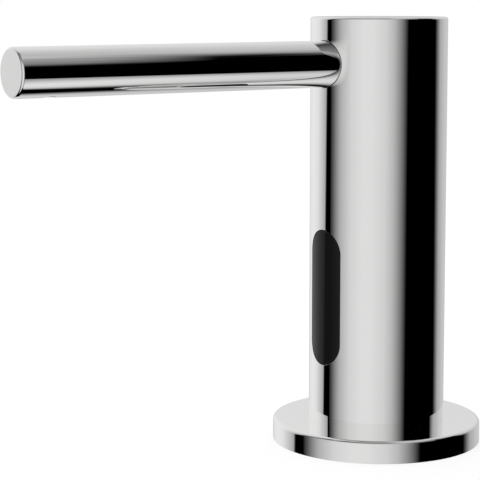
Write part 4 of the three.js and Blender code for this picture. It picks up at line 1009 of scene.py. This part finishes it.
spring_low, spring_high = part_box("valve_spring")
winding = (spring_high.x - spring_low.x) / 2 - SPRING_WIRE
first_turn, last_turn = spring_low.z + SPRING_WIRE, spring_high.z - SPRING_WIRE
wire_steps = round(SPRING_TURNS * STEPS_A_TURN)
wire = []
for i in range(wire_steps + 1):
    outward = polar(1, TAU * i / STEPS_A_TURN, 0)
    rise = (last_turn - first_turn) * i / wire_steps
    middle = Vector((0, LINE_BACK, first_turn + rise)) + winding * outward
    wire.append([
        middle + SPRING_WIRE * (math.cos(side) * outward + math.sin(side) * UPWARD)
        for side in (TAU * k / WIRE_SIDES for k in range(WIRE_SIDES))
    ])
spring = set_piece("valve_spring", polished(lofted("valve_spring", wire)), spring_steel)
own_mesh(spring)

# %% [markdown]
# ## Pieces that keep their CAD shape
# What is inside the closed tower and the spout has the right shape already. It only takes a finish.

# %% Finishes for the inner pieces
inner_finishes = {
    brass: ["base_insert", "spout_saddle_washer", "spout_nut"],
    steel: ["grub_screw", "board_screw_upper", "board_screw_lower", "housing_screw_upper",
            "housing_screw_lower", "sensor_bracket", "bracket_screw_left", "bracket_screw_right",
            "valve_ball", "lower_ferrule", "upper_ferrule"],
    rubber: ["body_o_ring", "lens_gasket", "hose_seal"],
    dark_plastic: ["sensor_housing", "driver_chip", "sensor_lead", "tube_spacer", "nozzle_tip"],
    pale_plastic: ["board_plug", "tube_connector", "nozzle_body"],
    tube_plastic: ["soap_tube"],
    board_green: ["sensor_board"],
    tinted_eye: ["ir_emitter", "ir_receiver"],
    red_light: ["status_led"],
}
for material, nodes in inner_finishes.items():
    for node in nodes:
        slots = frame["nodes"][node].data.materials
        slots.clear()
        slots.append(material)
print("inner pieces:", sum(len(nodes) for nodes in inner_finishes.values()))

# %% [markdown]
# ## The deck
# The floor is the washbasin's deck: plain and pale, with the hole that the shank goes through. To the camera
# it is mostly plain white, with enough of its lit surface mixed in to keep the soft shadow round the flange.
# From below it is clear, so that the fittings under the deck can be looked at.

# %% Deck
DECK_RADIUS = 1.2
DECK_HOLE = 17.5 * MM
DECK_DROP = 0.05 * MM
DECK_WHITE = 0.72
DECK_GLOW = 1.12
DECK_GREY = 0.86
DECK_DULL = 0.9

deck_mesh = turned("deck", [(DECK_HOLE, -DECK_DROP), (DECK_RADIUS, -DECK_DROP)], facets=SOME_FACETS)
deck_mesh.flip_normals()
deck = placed("deck", deck_mesh)
deck.visible_glossy = False
deck_finish = bpy.data.materials.new("pale deck")
deck_finish.use_nodes = True
tree = deck_finish.node_tree
surface = tree.nodes["Principled BSDF"]
surface.inputs["Base Color"].default_value = (DECK_GREY, DECK_GREY, DECK_GREY, 1)
surface.inputs["Roughness"].default_value = DECK_DULL
surface.inputs["Specular IOR Level"].default_value = 0.0
glow = tree.nodes.new("ShaderNodeEmission")
glow.inputs["Strength"].default_value = DECK_GLOW
clear = tree.nodes.new("ShaderNodeBsdfTransparent")


def blended(share, first, second):
    node = tree.nodes.new("ShaderNodeMixShader")
    for socket, value in zip(node.inputs, (share, first, second)):
        tree.links.new(value, socket)
    return node.outputs[0]


path = tree.nodes.new("ShaderNodeLightPath").outputs
white_share = step_of(tree, "MULTIPLY", path["Is Camera Ray"], DECK_WHITE)
seen = blended(white_share, surface.outputs[0], glow.outputs[0])
backfacing = tree.nodes.new("ShaderNodeNewGeometry").outputs["Backfacing"]
sides = blended(backfacing, seen, clear.outputs[0])
tree.links.new(sides, tree.nodes["Material Output"].inputs["Surface"])
deck.data.materials.append(deck_finish)

# %% [markdown]
# A deck hides what is under it, also from the polished underside of the spout. The floor isn't there for
# mirrors, so whatever reaches below it is taken out of all reflections.

# %% Fittings below the deck
BELOW_DECK = -1 * MM

for obj in list(bpy.context.scene.objects):
    if obj.type == "MESH" and obj != deck:
        lowest = min((obj.matrix_world @ Vector(corner)).z for corner in obj.bound_box)
        if lowest < BELOW_DECK:
            obj.visible_glossy = False
            print("hidden from mirrors:", obj.name)

# %% [markdown]
# ## The studio
# Chrome has no colour of its own: what it shows is the studio round it. The photograph tells that studio's
# layout, because a mirror turned by an angle shows what lies at twice that angle, so each stripe on the
# round tower gives a card's direction. The studio is painted on a very large sphere that only mirrors see:
# an evenly grey room in which cards of different blackness stand, each with soft or hard borders.
# Directions are degrees to the right of the camera, from -90 to 270, and degrees above the horizon.

# %% Studio cards
ROOM_LEVEL = 0.82
STUDIO_RADIUS = 30
STUDIO_STEPS = 72
FIRST_DIRECTION = -90

# Each card: how black it is along the horizon and how much of that is left at each height, in at most six
# stops. Where two numbers follow, its borders lean aside by so many degrees for each degree of height, up to
# the second number.
CARDS = {
    "front": (
        {-26: 0, 12: 0.21, 25: 0.4, 47: 0.96, 51: 1, 51.5: 0},
        {-60: 1, 20: 1, 30: 0.8, 45: 0.5, 60: 0}),
    "front foot": (
        {51: 0, 51.5: 0.72, 58: 0.6, 65: 0.4, 72: 0.15, 78: 0},
        {-60: 1, -32: 1, -24: 0.3, -22: 0}),
    "wall": (
        {48.4: 0, 49.7: 1, 104: 1, 106: 0},
        {-24: 0, -23: 1, 22.5: 1, 23.5: 0}),
    "wall foot": (
        {51: 0, 52: 1, 96: 1, 112: 0},
        {-54: 0, -38: 0.14, -34: 0.2, -24: 0.59, -23: 0.59, -22.9: 0}),
    "wall top": (
        {50: 0, 51: 1, 86: 1, 92: 0},
        {20: 0, 21: 1, 26: 0.98, 34: 0.73, 51: 0.44, 60: 0}),
    "bridge": (
        {54: 0, 55: 0.3, 57: 0.55, 58.8: 1, 87: 1, 95: 0},
        {20: 0, 21: 1, 38: 1, 38.6: 0}, 0.6, 60),
    "corner": (
        {37: 0, 41: 0.5, 43.5: 1, 46: 1, 48: 0.88, 53: 0},
        {37.9: 0, 38: 1, 41: 1, 44: 0.93, 50: 0.45, 60: 0}, 1, 60),
    "ceiling back": (
        {100: 0, 104: 0.1, 120: 0.1, 172: 0.06, 201: 0},
        {15: 0, 31: 0.9, 38: 1, 63: 1, 70: 0}),
    "right": (
        {90: 0, 96: 1, 107.9: 1, 112: 0.86, 123: 0.24, 142: 0},
        {-52: 0, -24: 0.5, -23: 1, 37: 1, 48: 0.45, 60: 0}, -0.4, 15),
    "back right": (
        {107.8: 0, 107.9: 0.37, 167: 0.28, 185: 0.28, 196: 0.08, 213: 0},
        {-40: 0, -20: 1, 3: 1, 13: 0.45, 30: 0.1, 40: 0}, -0.4, 15),
    "haze": (
        {106: 0, 122: 0.2, 131: 0.16, 147: 0.11, 163: 0.04, 175: 0},
        {4: 0, 13: 1, 35: 0}),
    "left edge": (
        {226: 0, 241: 0.07, 258: 0.4, 263.9: 0.56, 264.7: 1, 270: 1},
        {-60: 1, 26: 1, 45: 0}, 0.41, 15),
    "left": (
        {-90: 1, -87: 1, -80: 0.87, -65: 0.46, -46: 0.19, -9: 0},
        {-60: 1, 26: 1, 45: 0.3, 55: 0}),
    "ceiling": (
        {-90: 1, 117: 1, 158: 0.69, 179: 0.34, 200: 0.29, 270: 1},
        {8: 0, 17: 0.03, 50: 0.28, 75: 0.41, 82: 0.78, 90: 0.84}),
    "canopy": (
        {-90: 0.3, -73: 0.92, 17: 0.61, 40: 0, 255: 0, 270: 0.3},
        {32: 0, 40: 0.87, 44: 1, 56: 1, 62: 0.78, 73: 0}),
    "floor back": (
        {79: 0, 94: 0.29, 109: 0.88, 117: 1, 148: 1, 201: 0},
        {-90: 1, -57: 1, -54: 0.8, -51: 0.7, -28: 0.43, -20: 0}),
    "floor": (
        {-90: 1, 270: 1},
        {-90: 1, -60.8: 1, -59.8: 0}),
}


def ramp(tree, value, stops, first, span):
    node = tree.nodes.new("ShaderNodeValToRGB")
    elements = node.color_ramp.elements
    while len(elements) > 1:
        elements.remove(elements[0])
    for i, (degrees, amount) in enumerate(sorted(stops.items())):
        place = (degrees - first) / span
        stop = elements[0] if i == 0 else elements.new(place)
        stop.position = place
        stop.color = (amount, amount, amount, 1)
    tree.links.new(value, node.inputs["Fac"])
    return node.outputs["Color"]


def studio_sphere():
    toward_camera = CAMERA_AZIMUTH - math.pi / 2
    verts, spread = [], []
    for i in range(STUDIO_STEPS + 1):
        for j in range(STUDIO_STEPS + 1):
            across, up = i / STUDIO_STEPS, j / STUDIO_STEPS
            angle = toward_camera + math.radians(FIRST_DIRECTION + 360 * across)
            rise = math.radians(180 * up - 90)
            verts.append(STUDIO_RADIUS * polar(math.cos(rise), angle, math.sin(rise)))
            spread.append((across, up))
    row = STUDIO_STEPS + 1
    faces = [(i * row + j, i * row + j + 1, (i + 1) * row + j + 1, (i + 1) * row + j)
             for i in range(STUDIO_STEPS) for j in range(STUDIO_STEPS)]
    mesh = bpy.data.meshes.new("studio")
    mesh.from_pydata(verts, [], faces)
    layer = mesh.uv_layers.new(name="directions")
    for loop in mesh.loops:
        layer.data[loop.index].uv = spread[loop.vertex_index]
    return placed("studio", mesh)


studio = studio_sphere()
studio.visible_camera = studio.visible_diffuse = studio.visible_transmission = studio.visible_shadow = False
studio.visible_volume_scatter = False
painted = bpy.data.materials.new("painted studio")
painted.use_nodes = True
tree = painted.node_tree
tree.nodes.remove(tree.nodes["Principled BSDF"])
directions = tree.nodes.new("ShaderNodeUVMap")
directions.uv_map = "directions"
split = tree.nodes.new("ShaderNodeSeparateXYZ")
tree.links.new(directions.outputs[0], split.inputs[0])
around, upward = split.outputs["X"], split.outputs["Y"]
level = ROOM_LEVEL
for along_horizon, by_height, *leaning in CARDS.values():
    straightened = around
    if leaning:
        lean, highest = leaning
        held = step_of(tree, "MINIMUM", upward, (highest + 90) / 180)
        rise = step_of(tree, "SUBTRACT", held, 0.5)
        straightened = step_of(tree, "SUBTRACT", around, step_of(tree, "MULTIPLY", rise, lean / 2))
    black = step_of(tree, "MULTIPLY", ramp(tree, straightened, along_horizon, FIRST_DIRECTION, 360),
                    ramp(tree, upward, by_height, -90, 180))
    level = step_of(tree, "MULTIPLY", step_of(tree, "SUBTRACT", 1.0, black), level)
light = tree.nodes.new("ShaderNodeEmission")
tree.links.new(level, light.inputs["Strength"])
tree.links.new(light.outputs[0], tree.nodes["Material Output"].inputs["Surface"])
studio.data.materials.append(painted)
print("studio cards:", ", ".join(CARDS))

# %% [markdown]
# The room itself is the world: white to the eye and in mirrors, and a little lower as light, so that colours
# come out about as they are written. One large soft lamp from above gives the shadow its direction.

# %% World and lamp
ROOM_LIGHT = 0.7
LAMP_SIZE = 1.4
LAMP_PLACE = (-0.35, -0.25, 1.5)
LAMP_POWER = 7.0

world = bpy.data.worlds.new("white room")
world.use_nodes = True
bpy.context.scene.world = world
tree = world.node_tree
path = tree.nodes.new("ShaderNodeLightPath").outputs
seen_white = step_of(tree, "MAXIMUM", path["Is Camera Ray"], path["Is Glossy Ray"])
seen_white = step_of(tree, "MAXIMUM", seen_white, path["Is Transmission Ray"])
strength = tree.nodes.new("ShaderNodeMapRange")
strength.inputs["To Min"].default_value = ROOM_LIGHT
tree.links.new(seen_white, strength.inputs["Value"])
tree.nodes["Background"].inputs["Color"].default_value = (1, 1, 1, 1)
tree.links.new(strength.outputs["Result"], tree.nodes["Background"].inputs["Strength"])

lamp_data = bpy.data.lights.new("overhead lamp", "AREA")
lamp_data.size = LAMP_SIZE
lamp_data.energy = LAMP_POWER
lamp = placed("overhead lamp", lamp_data)
lamp.location = LAMP_PLACE
aim(lamp, -lamp.location)
lamp.visible_glossy = False

# %% [markdown]
# ## Closing
# The colours are shown as they are.

# %% Closing
bpy.context.scene.view_settings.view_transform = "Standard"
